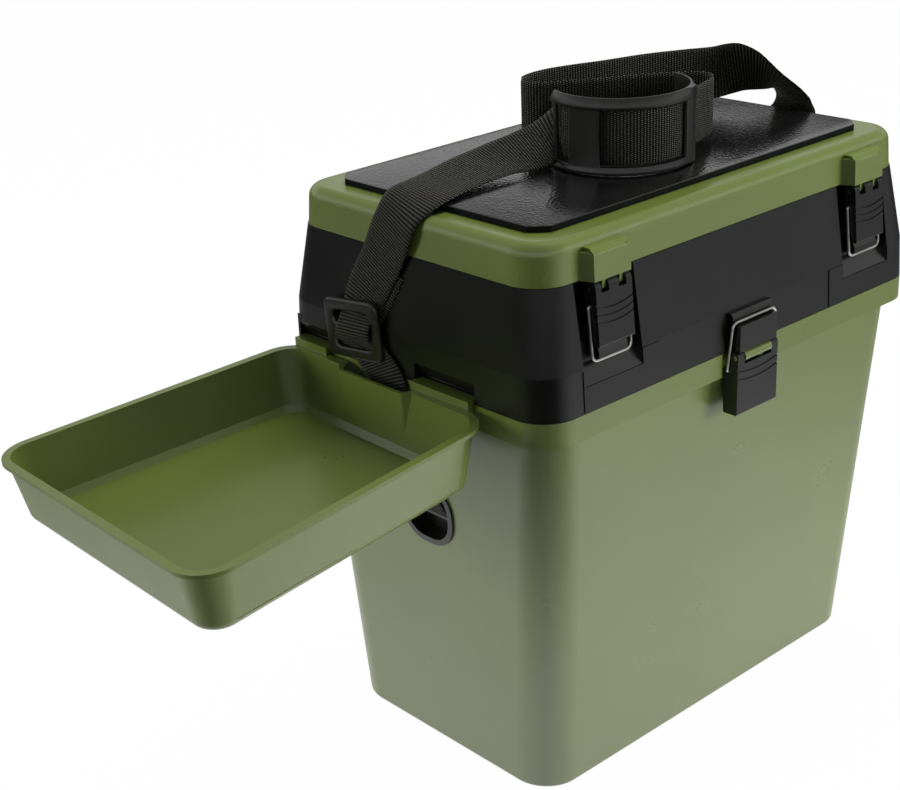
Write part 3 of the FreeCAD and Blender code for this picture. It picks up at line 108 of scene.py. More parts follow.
def mathNode(tree, operation, first, second=None):
    node = tree.nodes.new("ShaderNodeMath")
    node.operation = operation
    for i, value in enumerate((first, second)):
        if value is None:
            continue
        if isinstance(value, (int, float)):
            node.inputs[i].default_value = value
        else:
            tree.links.new(value, node.inputs[i])
    return node.outputs[0]


def plus(tree, first, second):
    return mathNode(tree, "ADD", first, second)


def times(tree, first, second):
    return mathNode(tree, "MULTIPLY", first, second)


def oneMinus(tree, value):
    return mathNode(tree, "SUBTRACT", 1.0, value)


def mixColour(tree, share, first, second):
    node = tree.nodes.new("ShaderNodeMix")
    node.data_type = "RGBA"
    tree.links.new(share, node.inputs[0])
    for i, value in ((6, first), (7, second)):
        if isinstance(value, tuple):
            node.inputs[i].default_value = (*value, 1)
        else:
            tree.links.new(value, node.inputs[i])
    return node.outputs[2]


def shade(colour, share):
    return tuple(c * share for c in colour)


def remap(tree, value, low, high, newLow, newHigh):
    node = tree.nodes.new("ShaderNodeMapRange")
    tree.links.new(value, node.inputs["Value"])
    for key, number in (("From Min", low), ("From Max", high), ("To Min", newLow), ("To Max", newHigh)):
        node.inputs[key].default_value = number
    return node.outputs[0]


def splitCoords(tree, kind):
    coords = addNode(tree, "ShaderNodeTexCoord")
    split = addNode(tree, "ShaderNodeSeparateXYZ")
    tree.links.new(coords.outputs[kind], split.inputs[0])
    return split.outputs["X"], split.outputs["Y"], split.outputs["Z"]


def noiseAt(tree, scale, detail=3.0, rough=0.5):
    coords = addNode(tree, "ShaderNodeTexCoord")
    noise = addNode(tree, "ShaderNodeTexNoise", in_Scale=scale, in_Detail=detail, in_Roughness=rough)
    tree.links.new(coords.outputs["Object"], noise.inputs["Vector"])
    return noise.outputs["Fac"]


def addBump(tree, shader, height, strength, distance, before=None):
    bump = addNode(tree, "ShaderNodeBump", in_Strength=strength, in_Distance=distance)
    tree.links.new(height, bump.inputs["Height"])
    if before is not None:
        tree.links.new(before, bump.inputs["Normal"])
    tree.links.new(bump.outputs["Normal"], shader.inputs["Normal"])
    return bump.outputs["Normal"]


# noise keeps near its middle, so this part of it is spread over the whole of what it drives
noiseSpread = (0.3, 0.7)


# moulded plastic: soft colour drift and mottling, uneven sheen, faint waves, fine grain
plasticSet = {
    "oliveHousing": {
        "colour": (0.118, 0.158, 0.029), "drift": 0.05,
        "rough": (0.27, 0.33), "grain": 0.03, "gloss": 1.75, "shine": 0.9,
    },
    "blackHousing": {
        "colour": (0.0040, 0.0040, 0.0038), "drift": 0.30,
        "rough": (0.28, 0.36), "grain": 0.06, "gloss": 1.5, "shine": 0.9,
    },
    "leverPlastic": {
        "colour": (0.0046, 0.0046, 0.0047), "drift": 0.25,
        "rough": (0.30, 0.40), "grain": 0.12, "gloss": 1.5, "shine": 0.9,
    },
    "buckleNylon": {
        "colour": (0.0080, 0.0080, 0.0070), "drift": 0.25,
        "rough": (0.33, 0.43), "grain": 0.10, "gloss": 1.55, "shine": 1.0,
    },
}

# how any of these plastics is moulded: scales per metre, depths in metres
mouldSet = {
    "cloudScale": 7.0,
    "cloudDetail": 4.0,
    "cloudSpread": (0.35, 0.65),
    "mottleScale": 160.0,
    "mottleShare": 0.12,
    "mottleShade": 0.8,
    "sheenScale": 26.0,
    "sheenDetail": 5.0,
    "sheenRough": 0.6,
    "waveScale": 22.0,
    "waveStrength": 0.06,
    "waveDepth": 0.0015,
    "grainScale": 1300.0,
    "grainDepth": 0.0002,
    "bumpDetail": 2.0,
}


def makePlastic(name):
    values = plasticSet[name]
    material, tree, shader = newMaterial(name)
    colour, drift = values["colour"], values["drift"]
    cloud = noiseAt(tree, mouldSet["cloudScale"], mouldSet["cloudDetail"])
    cloud = remap(tree, cloud, *mouldSet["cloudSpread"], 0, 1)
    base = mixColour(tree, cloud, shade(colour, 1 - drift), shade(colour, 1 + drift))
    mottle = remap(tree, noiseAt(tree, mouldSet["mottleScale"]), *noiseSpread, 0, mouldSet["mottleShare"])
    base = mixColour(tree, mottle, base, shade(colour, mouldSet["mottleShade"]))
    tree.links.new(base, shader.inputs["Base Color"])
    sheen = noiseAt(tree, mouldSet["sheenScale"], mouldSet["sheenDetail"], mouldSet["sheenRough"])
    tree.links.new(remap(tree, sheen, *noiseSpread, *values["rough"]), shader.inputs["Roughness"])
    waves = noiseAt(tree, mouldSet["waveScale"], mouldSet["bumpDetail"])
    wavy = addBump(tree, shader, waves, mouldSet["waveStrength"], mouldSet["waveDepth"])
    grain = noiseAt(tree, mouldSet["grainScale"], mouldSet["bumpDetail"])
    addBump(tree, shader, grain, values["grain"], mouldSet["grainDepth"], wavy)
    shader.inputs["IOR"].default_value = values["gloss"]
    shader.inputs["Specular IOR Level"].default_value = values["shine"]
    return material


# bright zinc-plated wire and pins: cloudy tarnish, dull spots, slight grain
metalSet = {
    "zincWire": {"colour": (0.95, 0.93, 0.86), "rough": (0.30, 0.42)},
    "pinSteel": {"colour": (0.78, 0.77, 0.74), "rough": (0.16, 0.28)},
}

# how either of these metals is plated: scales per metre, depths in metres
platingSet = {
    "tarnishScale": 90.0,
    "tarnishDetail": 4.0,
    "tarnishSpread": (0.4, 0.65),
    "tarnishShade": 0.80,
    "spotScale": 240.0,
    "spotDetail": 4.0,
    "spotRough": 0.6,
    "grainScale": 500.0,
    "grainDetail": 2.0,
    "grainStrength": 0.04,
    "grainDepth": 0.0002,
}


def makeMetal(name):
    values = metalSet[name]
    material, tree, shader = newMaterial(name)
    shader.inputs["Metallic"].default_value = 1.0
    colour = values["colour"]
    tarnish = noiseAt(tree, platingSet["tarnishScale"], platingSet["tarnishDetail"])
    tarnish = remap(tree, tarnish, *platingSet["tarnishSpread"], 0, 1)
    base = mixColour(tree, tarnish, colour, shade(colour, platingSet["tarnishShade"]))
    tree.links.new(base, shader.inputs["Base Color"])
    spots = noiseAt(tree, platingSet["spotScale"], platingSet["spotDetail"], platingSet["spotRough"])
    tree.links.new(remap(tree, spots, *noiseSpread, *values["rough"]), shader.inputs["Roughness"])
    grain = noiseAt(tree, platingSet["grainScale"], platingSet["grainDetail"])
    addBump(tree, shader, grain, platingSet["grainStrength"], platingSet["grainDepth"])
    return material


# black ribbed webbing: crosswise ribs of beaded yarn, read from the strap's own UV map in metres, with a
# painted highlight that makes each bead's crest paler than the black yarn.
# Pitches are millimetres, scales are per metre and depths are metres.
webbingSet = {
    "dark": (0.0016, 0.0017, 0.0012),
    # the pale grey is a painted highlight on the bead crests
    "bright": (0.165, 0.162, 0.130),
    "ribPitch": 2.1,
    "yarnPitch": 1.35,
    "yarnPower": 0.8,
    "beadPower": 1.9,
    "beadStrength": 0.9,
    "beadDepth": 0.0005,
    "fuzzScale": 1500.0,
    "fuzzRough": 0.7,
    "fuzzRange": (0.75, 1.15),
    "fibreScale": 3200.0,
    "fibreDetail": 2.0,
    "fibreStrength": 0.25,
    "fibreDepth": 0.0002,
    "rough": 0.62,
    "shine": 0.25,
    "sheen": 0.04,
    "sheenRough": 0.5,
}


def stripes(tree, count):
    wave = mathNode(tree, "COSINE", times(tree, count, 2 * math.pi))
    return remap(tree, wave, -1, 1, 0, 1)


def makeWebbing():
    values = webbingSet
    material, tree, shader = newMaterial("ribbedWebbing")
    uv = addNode(tree, "ShaderNodeUVMap")
    split = addNode(tree, "ShaderNodeSeparateXYZ")
    tree.links.new(uv.outputs["UV"], split.inputs[0])
    along = times(tree, split.outputs["X"], 1 / (values["ribPitch"] * mm))
    across = times(tree, split.outputs["Y"], 1 / (values["yarnPitch"] * mm))
    # each rib's beads lie half a yarn further over than the last rib's
    stagger = times(tree, mathNode(tree, "FLOOR", plus(tree, along, 0.5)), 0.5)
    rib = stripes(tree, along)
    yarn = stripes(tree, plus(tree, across, stagger))
    bead = times(tree, rib, mathNode(tree, "POWER", yarn, values["yarnPower"]))
    fuzz = noiseAt(tree, values["fuzzScale"], rough=values["fuzzRough"])
    fuzz = remap(tree, fuzz, *noiseSpread, *values["fuzzRange"])
    # painted highlight: the higher a bead's crest, the paler it is painted
    paintedCrestHighlight = times(tree, mathNode(tree, "POWER", bead, values["beadPower"]), fuzz)
    tree.links.new(mixColour(tree, paintedCrestHighlight, values["dark"], values["bright"]), shader.inputs["Base Color"])
    shader.inputs["Roughness"].default_value = values["rough"]
    shader.inputs["Specular IOR Level"].default_value = values["shine"]
    shader.inputs["Sheen Weight"].default_value = values["sheen"]
    shader.inputs["Sheen Roughness"].default_value = values["sheenRough"]
    beaded = addBump(tree, shader, bead, values["beadStrength"], values["beadDepth"])
    fibres = noiseAt(tree, values["fibreScale"], values["fibreDetail"])
    addBump(tree, shader, fibres, values["fibreStrength"], values["fibreDepth"], beaded)
    return material


# glossy seat sheet with a dull cut flank: half sizes, places and flank in millimetres
padSet = {
    "size": (161.7, 93.3),
    "bottom": 388.45,
    "thickness": 4.2,
    "corner": 10.5,
    "cornerProfile": 0.28,
    "edge": 0.5,
    "edgeProfile": 0.5,
    "edgeSegments": 3,
    "smoothAngle": 32,
    "near": 0.01,
    "flankStart": 0.2,
    "flankEnd": 0.6,
}

# its skin: orange-peel pebbling that breaks up its reflections, and a little dust. Scales are
# per metre, depths are metres.
padFinishSet = {
    "colour": (0.0050, 0.0052, 0.0052),
    "dustScale": 18.0,
    "dustDetail": 5.0,
    "dustSpread": (0.45, 0.75),
    "dustShare": 0.35,
    "dustShade": 2.6,
    "rough": (0.12, 0.20),
    "sheenScale": 34.0,
    "sheenDetail": 4.0,
    "flankRough": 0.45,
    "flankShine": 0.08,
    "gloss": 1.8,
    "swellScale": 60.0,
    "swellStrength": 0.05,
    "swellDepth": 0.002,
    "pebbleScale": 480.0,
    "pebbleSmooth": 0.8,
    "pebbleStrength": 0.30,
    "pebbleDepth": 0.0006,
}


def makePadSheet():
    values = padFinishSet
    material, tree, shader = newMaterial("padSheet")
    colour = values["colour"]
    dust = noiseAt(tree, values["dustScale"], values["dustDetail"])
    dust = remap(tree, dust, *values["dustSpread"], 0, values["dustShare"])
    base = mixColour(tree, dust, colour, shade(colour, values["dustShade"]))
    tree.links.new(base, shader.inputs["Base Color"])
    top = padSet["bottom"] + padSet["thickness"]
    dull, glossy = (top - padSet["flankEnd"]) * mm, (top - padSet["flankStart"]) * mm
    flank = remap(tree, splitCoords(tree, "Object")[2], dull, glossy, 1, 0)
    sheen = noiseAt(tree, values["sheenScale"], values["sheenDetail"])
    sheen = remap(tree, sheen, *noiseSpread, *values["rough"])
    rough = plus(tree, sheen, times(tree, flank, values["flankRough"]))
    tree.links.new(rough, shader.inputs["Roughness"])
    shine = remap(tree, flank, 0, 1, 1.0, values["flankShine"])
    tree.links.new(shine, shader.inputs["Specular IOR Level"])
    coords = addNode(tree, "ShaderNodeTexCoord")
    cells = addNode(tree, "ShaderNodeTexVoronoi", feature="SMOOTH_F1", in_Scale=values["pebbleScale"],
                    in_Smoothness=values["pebbleSmooth"])
    tree.links.new(coords.outputs["Object"], cells.inputs["Vector"])
    swell = noiseAt(tree, values["swellScale"])
    swollen = addBump(tree, shader, swell, values["swellStrength"], values["swellDepth"])
    pebbles = cells.outputs["Distance"]
    addBump(tree, shader, pebbles, values["pebbleStrength"], values["pebbleDepth"], swollen)
    shader.inputs["IOR"].default_value = values["gloss"]
    return material


olive = makePlastic("oliveHousing")
black = makePlastic("blackHousing")
lever = makePlastic("leverPlastic")
nylon = makePlastic("buckleNylon")
wire = makeMetal("zincWire")
steel = makeMetal("pinSteel")
webbing = makeWebbing()
padSheet = makePadSheet()

nodeFinish = {
    "bin_shell": olive, "lid_shell": olive, "side_tray": olive, "insert_tray": olive,
    "tier_shell": black,
    "left_lever": lever, "right_lever": lever, "front_lever": lever,
    "left_bail": wire, "right_bail": wire, "front_bail": wire,
    "tier_hinge_pins": steel, "lid_hinge_pins": steel, "front_lever_pin": steel, "lid_lever_pins": steel,
    # the strap anchors are black nylon cups; their black also stands for the shade in the recess round
    # each strap loop, so it is partly painted shade
    "strap_anchor_left": nylon, "strap_anchor_right": nylon,
    "buckle_left": nylon, "buckle_right": nylon, "shoulder_slide": nylon,
    "seat_pad": padSheet, "strap_web": webbing, "strap_tail_left": webbing, "strap_tail_right": webbing,
}
for nodeName, finish in nodeFinish.items():
    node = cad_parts[nodeName]
    if not node.material_slots:
        node.data.materials.append(finish)
    for slot in node.material_slots:
        slot.material = finish
print("stage: materials")


def startAlone():
    if bpy.context.object and bpy.context.object.mode != "OBJECT":
        bpy.ops.object.mode_set(mode="OBJECT")
    bpy.ops.object.select_all(action="DESELECT")


def settle(piece):
    startAlone()
    piece.select_set(True)
    bpy.context.view_layer.objects.active = piece
    bpy.ops.object.transform_apply(location=True, rotation=True, scale=True)


def applyAll(piece):
    startAlone()
    piece.select_set(True)
    bpy.context.view_layer.objects.active = piece
    for modifier in list(piece.modifiers):
        bpy.ops.object.modifier_apply(modifier=modifier.name)


def selectFaces(piece, wanted):
    bpy.ops.object.mode_set(mode="EDIT")
    bpy.ops.mesh.select_mode(type="FACE")
    bpy.ops.mesh.select_all(action="DESELECT")
    bpy.ops.object.mode_set(mode="OBJECT")
    for face in piece.data.polygons:
        face.select = wanted(face)
    bpy.ops.object.mode_set(mode="EDIT")


def selectEdges(piece, wanted):
    bpy.ops.object.mode_set(mode="EDIT")
    bpy.ops.mesh.select_mode(type="EDGE")
    bpy.ops.mesh.select_all(action="DESELECT")
    bpy.ops.object.mode_set(mode="OBJECT")
    vertices = piece.data.vertices
    for edge in piece.data.edges:
        edge.select = wanted(*(vertices[i].co for i in edge.vertices))
    bpy.ops.object.mode_set(mode="EDIT")


def deleteFaces(piece, wanted):
    selectFaces(piece, wanted)
    bpy.ops.mesh.delete(type="FACE")
    bpy.ops.object.mode_set(mode="OBJECT")


def bevelEdges(piece, wanted, width, segments, profile):
    selectEdges(piece, wanted)
    bpy.ops.mesh.bevel(offset=width * mm, segments=segments, profile=profile, affect="EDGES")
    bpy.ops.object.mode_set(mode="OBJECT")


def turnOutwards():
    bpy.ops.object.mode_set(mode="EDIT")
    bpy.ops.mesh.select_all(action="SELECT")
    bpy.ops.mesh.normals_make_consistent(inside=False)
    bpy.ops.object.mode_set(mode="OBJECT")


def thicken(piece, thickness):
    plate = piece.modifiers.new("thickness", "SOLIDIFY")
    plate.thickness = thickness
    plate.offset = 0
    applyAll(piece)


def giveFinish(piece, finish):
    piece.data.materials.clear()
    piece.data.materials.append(finish)


def makeSeatPad():
    halfLength, halfWidth = padSet["size"]
    halfThickness = padSet["thickness"] / 2
    middle = padSet["bottom"] + halfThickness
    startAlone()
    bpy.ops.mesh.primitive_cube_add(size=2, location=(0, 0, middle * mm),
                                    scale=(halfLength * mm, halfWidth * mm, halfThickness * mm))
    pad = bpy.context.object
    pad.name = "seatSheet"
    settle(pad)
    top = (padSet["bottom"] + padSet["thickness"]) * mm
    near = padSet["near"] * mm

    def upright(a, b):
        return abs(a.z - b.z) > near

    def onTop(a, b):
        return min(a.z, b.z) > top - near

    segments = padSet["edgeSegments"]
    bevelEdges(pad, upright, padSet["corner"], segments, padSet["cornerProfile"])
    bevelEdges(pad, onTop, padSet["edge"], segments, padSet["edgeProfile"])
    bpy.ops.object.shade_smooth_by_angle(angle=math.radians(padSet["smoothAngle"]))
    giveFinish(pad, padSheet)
    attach(pad, "lid")
    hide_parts("seat_pad")


makeSeatPad()
print("stage: seat sheet")


# how every strap is made, in millimetres
strapSet = {
    "width": 38.0,
    "thickness": 1.5,
    "step": 0.53,
    "rows": 12,
    "stops": 40,  # places worked out between two points of a route
    "probe": 0.5,  # how far before and after a place its direction is read
    "squaring": 0.3,  # share by which the crosswise direction is turned square to that
    "ribHeight": 0.16,
    "selvedge": 1.2,  # width of the strip at each edge where the strap thins
    "selvedgeShare": 0.35,  # share of the thickness that is left at the very edge
}


def onSmoothLine(points):
    points = np.array(points, float)
    before = np.vstack([points[:1], points[:-1]])
    after = np.vstack([points[1:], points[-1:]])
    result = []
    for i in range(len(points) - 1):
        p0, p1, p2, p3 = before[i], points[i], points[i + 1], after[i + 1]
        t = np.linspace(0, 1, strapSet["stops"], endpoint=False)[:, None]
        result.append(0.5 * (2 * p1 + (p2 - p0) * t + (2 * p0 - 5 * p1 + 4 * p2 - p3) * t ** 2
                             + (3 * p1 - p0 - 3 * p2 + p3) * t ** 3))
    result.append(points[-1:])
    return np.vstack(result)


def unit(rows, smallest=1e-9):
    return rows / np.maximum(np.linalg.norm(rows, axis=-1, keepdims=True), smallest)


def readPlaces(mesh):
    places = np.zeros(len(mesh.vertices) * 3)
    mesh.vertices.foreach_get("co", places)
    return places.reshape(-1, 3)


# a route is a list of (centre, crosswise direction, share of the width), and the share is left
# out where the strap has its full width
def layStrap(name, route, width=strapSet["width"], thickness=strapSet["thickness"]):
    centres = onSmoothLine([point[0] for point in route])
    crosses = onSmoothLine(unit(np.array([point[1] for point in route], float)))
    shares = onSmoothLine([point[2:] or (1,) for point in route])
    length = np.concatenate([[0], np.cumsum(np.linalg.norm(np.diff(centres, axis=0), axis=1))])

    def along(line, distance):
        return np.stack([np.interp(distance, length, column) for column in line.T], 1)

    startAlone()
    cells = int(length[-1] / strapSet["step"])
    bpy.ops.mesh.primitive_grid_add(x_subdivisions=cells, y_subdivisions=strapSet["rows"], size=1)
    strap = bpy.context.object
    strap.name = name
    mesh = strap.data
    flat = readPlaces(mesh)
    travel = (flat[:, 0] + 0.5) * length[-1]
    side = flat[:, 1] * width * along(shares, travel)[:, 0]
    cross = unit(along(crosses, travel))
    probe, squaring = strapSet["probe"], strapSet["squaring"]
    ahead = unit(along(centres, travel + probe) - along(centres, travel - probe))
    square = unit(np.cross(unit(np.cross(ahead, cross)), ahead))
    cross = unit((1 - squaring) * cross + squaring * square)
    middle = (along(centres, travel) + cross * side[:, None]) * mm
    mesh.vertices.foreach_set("co", middle.ravel())
    corner = np.zeros(len(mesh.loops), int)
    mesh.loops.foreach_get("vertex_index", corner)
    spread = np.stack([travel[corner], side[corner]], 1) * mm
    mesh.uv_layers.active.data.foreach_set("uv", spread.ravel())
    thicken(strap, thickness * mm)
    # the two faces come one after the other, and each is pushed out to the height of its ribs
    rib = 0.5 + 0.5 * np.cos(2 * math.pi * travel / webbingSet["ribPitch"])
    toEdge = (0.5 - np.abs(flat[:, 1])) * width
    fade = np.clip(toEdge / strapSet["selvedge"], strapSet["selvedgeShare"], 1)
    height = (thickness / 2 - strapSet["ribHeight"] * (1 - rib)) * fade
    faces = readPlaces(mesh).reshape(2, -1, 3)
    faces = middle + unit(faces - middle) * height[:, None] * mm
    mesh.vertices.foreach_set("co", faces.ravel())
    mesh.update()
    bpy.ops.object.shade_smooth()
    giveFinish(strap, webbing)
    return strap


# over the lid: up from the left buckle, through the slide, folded, and down to the right buckle
overLidSet = {
    "rise": [
        ((-190.9, 43.5, 291.0), (0, 0.985, -0.17), 0.88),
        ((-191.6, 42.6, 295.5), (0, 0.985, -0.17), 0.88),
        ((-195.8, 41.8, 299.5), (0, 0.985, -0.17), 0.88),
        ((-197.6, 41.0, 304.0), (0, 0.985, -0.17), 0.87),
        ((-197.4, 40.4, 309.0), (0, 0.985, -0.17), 0.87),
        ((-194.6, 39.7, 314.5), (0, 0.985, -0.12), 0.88),
        ((-191.0, 38.6, 320.5), (0, 0.97, 0.05), 0.90),
        ((-189.4, 36.2, 327.0), (0, 0.93, 0.3), 0.92),
        ((-188.0, 32.0, 337.6), (0.05, 0.89, 0.44), 0.94),
        ((-186.0, 22.6, 354.1), (0.06, 0.89, 0.45), 0.96),
        ((-185.2, 14.5, 370.5), (0.08, 0.89, 0.44)),
        ((-185.0, 9.9, 379.4), (0.12, 0.90, 0.40)),
        ((-183.0, 6.6, 387.8), (0.14, 0.92, 0.33)),
        ((-177.2, 4.8, 393.8), (0.07, 0.955, 0.26)),
        ((-168.4, 4.1, 396.8), (-0.03, 0.97, 0.20)),
        ((-157.6, 4.7, 398.2), (-0.08, 0.98, 0.16)),
        ((-140.3, 7.8, 399.0), (-0.12, 0.97, 0.15)),
        ((-117, 9.5, 401.0), (-0.03, 0.97, 0.22)),
        ((-98, 9.6, 402.2), (0.04, 0.96, 0.27)),
        ((-86, 8.6, 403.0), (0.10, 0.93, 0.34)),
        ((-74, 5.8, 404.2), (0.20, 0.88, 0.42)),
        ((-63, 4.4, 405.6), (0.27, 0.84, 0.47)),
        ((-53, 3.0, 407.6), (0.30, 0.79, 0.54)),
        ((-46.5, -0.4, 411.0), (0.26, 0.62, 0.74)),
        ((-49.6, -6.0, 415.0), (0.12, 0.30, 0.94)),
    ],
    "slideCentre": (-14.0, -26.0),
    "slideInside": 43.4,
    "arc": (164, 288, 15),
    "level": 418.6,
    "loops": [
        (9.5, -62.2), (21, -58), (36, -53), (52, -48), (62, -38), (59, -26), (46, -14),
        (26, 0), (9, 10), (-12, 25), (-26, 36), (-28, 48), (-18, 59), (4, 62),
        (26, 57), (51, 48), (85, 38), (112, 25), (131, 14.5),
    ],
    "fall": [
        ((141.0, 7.5, 420.5), (-0.16, 0.02, 0.98)),
        ((147.5, 0.5, 421.5), (-0.32, -0.02, 0.94)),
        ((154.0, -9.0, 418.5), (-0.48, -0.25, 0.84)),
        ((162.0, -20.0, 410.5), (-0.58, -0.66, 0.46)),
        ((172.5, -23.0, 403.0), (-0.38, -0.91, 0.14)),
        ((181.0, -21.3, 395.2), (-0.28, -0.95, 0.08)),
        ((186.4, -18.0, 385.0), (-0.05, -1.0, -0.05)),
        ((186.2, -9.0, 371.0), (0, -0.93, -0.36)),
        ((187.6, 4.0, 352.0), (0, -0.87, -0.48)),
        ((189.4, 17.5, 334.0), (0, -0.88, -0.47), 0.94),
        ((190.6, 29.0, 321.5), (0, -0.95, -0.25), 0.90),
        ((193.8, 36.0, 314.5), (0, -0.985, 0.05), 0.88),
        ((196.6, 39.0, 309.0), (0, -0.985, 0.17), 0.87),
        ((196.8, 40.4, 304.0), (0, -0.985, 0.17), 0.87),
        ((195.0, 41.8, 299.5), (0, -0.985, 0.17), 0.88),
        ((191.4, 42.6, 295.5), (0, -0.985, 0.17), 0.88),
        ((190.9, 43.5, 291.0), (0, -0.985, 0.17), 0.88),
    ],
}


def makeOverLidStrap():
    values = overLidSet
    centreX, centreY = values["slideCentre"]
    reach = values["slideInside"]
    turns = [math.radians(degrees) for degrees in range(*values["arc"])]
    onEdge = [(centreX + reach * math.cos(turn), centreY + reach * math.sin(turn)) for turn in turns]
    onEdge += values["loops"]
    upright = [((x, y, values["level"]), (0, 0, 1)) for x, y in onEdge]
    strap = layStrap("strapOverLid", values["rise"] + upright + values["fall"])
    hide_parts("strap_web")
    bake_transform(strap)


makeOverLidStrap()
print("stage: strap over the lid")


# below the buckles: from the anchor's bar up the end wall and behind the buckle's lower rail
lowerSet = {
    "width": 36.0,
    "route": [
        ((165.9, -2.2, 196), (0, 1, 0)),
        ((165.9, -2.2, 189), (0, 1, 0)),
        ((165.9, -2.2, 185), (0, 1, 0)),
        ((167.3, -2.2, 181.1), (0, 1, 0)),
        ((170.0, -2.2, 179.7), (0, 1, 0)),
        ((173.4, -2.2, 181.1), (0, 1, 0)),
        ((174.9, -1.9, 185), (0, 1, 0)),
        ((177.6, -1.2, 189), (0, 1, -0.04)),
        ((180.2, 0.0, 195), (0, 0.99, -0.08)),
        ((182.4, 2.2, 209), (0, 0.98, -0.14)),
        ((186.2, 5.6, 232), (0, 0.97, -0.20)),
        ((191.1, 9.2, 255), (0, 0.96, -0.26)),
        ((191.7, 12.0, 268), (0, 0.95, -0.30)),
        ((191.7, 17.5, 279), (0, 0.94, -0.34)),
        ((191.9, 26.0, 288), (0, 0.94, -0.34), 0.94),
        ((192.1, 33.0, 294.5), (0, 0.95, -0.30), 0.92),
    ],
}


def makeLowerStrap(side, sign):
    route = [((x * sign, y, z), *rest) for (x, y, z), *rest in lowerSet["route"]]
    strap = layStrap("strapLower" + side, route, lowerSet["width"])
    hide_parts("strap_tail_" + side.lower())
    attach(strap, "bin")


for sideName, sideSign in (("Left", -1), ("Right", 1)):
    makeLowerStrap(sideName, sideSign)
print("stage: lower straps")


# the strap's own end, tucked between the standing ply and the wall above the left buckle
tuckedSet = {
    "width": 36.5,
    "thickness": 1.2,
    "route": [
        ((-190.2, 40.0, 316.0), (0, 0.98, 0.16)),
        ((-189.0, 35.5, 323.0), (0, 0.95, 0.3)),
        ((-187.4, 30.0, 332.0), (0.03, 0.91, 0.4)),
        ((-185.9, 23.5, 343.5), (0.05, 0.89, 0.45)),
        ((-184.6, 18.0, 355.0), (0.06, 0.89, 0.45)),
    ],
}


def makeTuckedEnd():
    width, thickness = tuckedSet["width"], tuckedSet["thickness"]
    end = layStrap("strapTuckedEnd", tuckedSet["route"], width, thickness)
    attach(end, "tier")


makeTuckedEnd()
print("stage: tucked strap end")


# rounded nylon buckles: an outer frame and a middle bar, drawn flat in millimetres and scaled
# down when they are put in place
buckleSet = {
    "place": (193.5, 44.0, 305.8),
    "lean": 7.0,
    "columns": (-26.8, -22.4, -18.2, -9.0, 9.0, 18.2, 22.4, 26.8),
    "rows": (-20.2, -16.6, -12.6, -3.6, 3.4, 11.4, 15.8, 20.0),
    "window": 18.2,
    "bar": (-3.6, 3.4),
    "openings": (-12.6, 11.4),
    "cornerIn": 1.9,
    "thickness": 5.0,
    "barSink": 1.0,
    "margin": 1.0,
    "roundings": 3,
}


def gridPiece(name, columns, rows):
    startAlone()
    across, up = len(columns) - 1, len(rows) - 1
    bpy.ops.mesh.primitive_grid_add(x_subdivisions=across, y_subdivisions=up, size=1)
    piece = bpy.context.object
    piece.name = name
    cells = []
    for vertex in piece.data.vertices:
        column = columns[round((vertex.co.x + 0.5) * across)]
        row = rows[round((vertex.co.y + 0.5) * up)]
        cells.append((column, row))
    return piece, cells


def makeBuckle(side, sign):
    values = buckleSet
    buckle, cells = gridPiece("buckle" + side, values["columns"], values["rows"])
    farAcross, lowest, highest = values["columns"][-1], values["rows"][0], values["rows"][-1]
    for vertex, (across, up) in zip(buckle.data.vertices, cells):
        if abs(across) == farAcross and up in (lowest, highest):
            across -= math.copysign(values["cornerIn"], across)
            up -= math.copysign(values["cornerIn"], up)
        vertex.co = Vector((0, across, up))
    low, high = values["openings"]
    barLow, barHigh = values["bar"]

    def inWindow(face):
        middle = face.center
        inside = abs(middle.y) < values["window"] and low < middle.z < high
        return inside and not barLow < middle.z < barHigh

    deleteFaces(buckle, inWindow)
    thicken(buckle, values["thickness"])
    margin = values["margin"]
    for vertex in buckle.data.vertices:
        onBar = barLow - margin < vertex.co.z < barHigh + margin
        if onBar and abs(vertex.co.y) < values["window"] - margin:
            vertex.co.x -= values["barSink"]
    smooth = buckle.modifiers.new("rounding", "SUBSURF")
    smooth.levels = smooth.render_levels = values["roundings"]
    applyAll(buckle)
    lean = math.radians(values["lean"])
    x, y, z = values["place"]
    for vertex in buckle.data.vertices:
        out, across, up = vertex.co
        vertex.co = Vector((sign * (x + out), y + across * math.cos(lean) + up * math.sin(lean),
                            z - across * math.sin(lean) + up * math.cos(lean))) * mm
    turnOutwards()
    bpy.ops.object.shade_smooth()
    giveFinish(buckle, nylon)
    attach(buckle, "tier")
    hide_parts("buckle_" + side.lower())


for sideName, sideSign in (("Left", -1), ("Right", 1)):
    makeBuckle(sideName, sideSign)
print("stage: buckles")


# curved shoulder slide: thin shell, proud bevelled rails and end post, three windows. It is
# drawn flat, with degrees of turn along it and millimetres up it, and then bent round its centre.
slideSet = {
    "centre": overLidSet["slideCentre"],
    "base": 393.75,
    "height": 49.4,
    "inner": 44.5,
    "outer": 47.0,
    "start": 152.0,
    "end": 350.0,
    "step": 2.0,
    # height of each row, and how far the shell stands out there
    "rows": {
        0.0: 0.9, 1.6: 1.3, 3.6: 0.4, 5.0: 0.2, 14.0: 0, 24.7: 0, 35.0: 0,
        41.4: 0.2, 43.0: 1.9, 44.4: 1.9, 49.4: -1.0,
    },
    "openings": (5.0, 41.4),
    "windows": ((158, 176), (206, 284), (304, 338)),
    "barCurve": 2.6,
    "post": (286.0, 302.0),
    "postProud": 1.8,
    "postEdgeShare": 0.1,
    "near": 0.1,
    "edge": 0.7,
    "edgeSegments": 3,
    "edgeAngle": 32,
    "smoothAngle": 40,
}


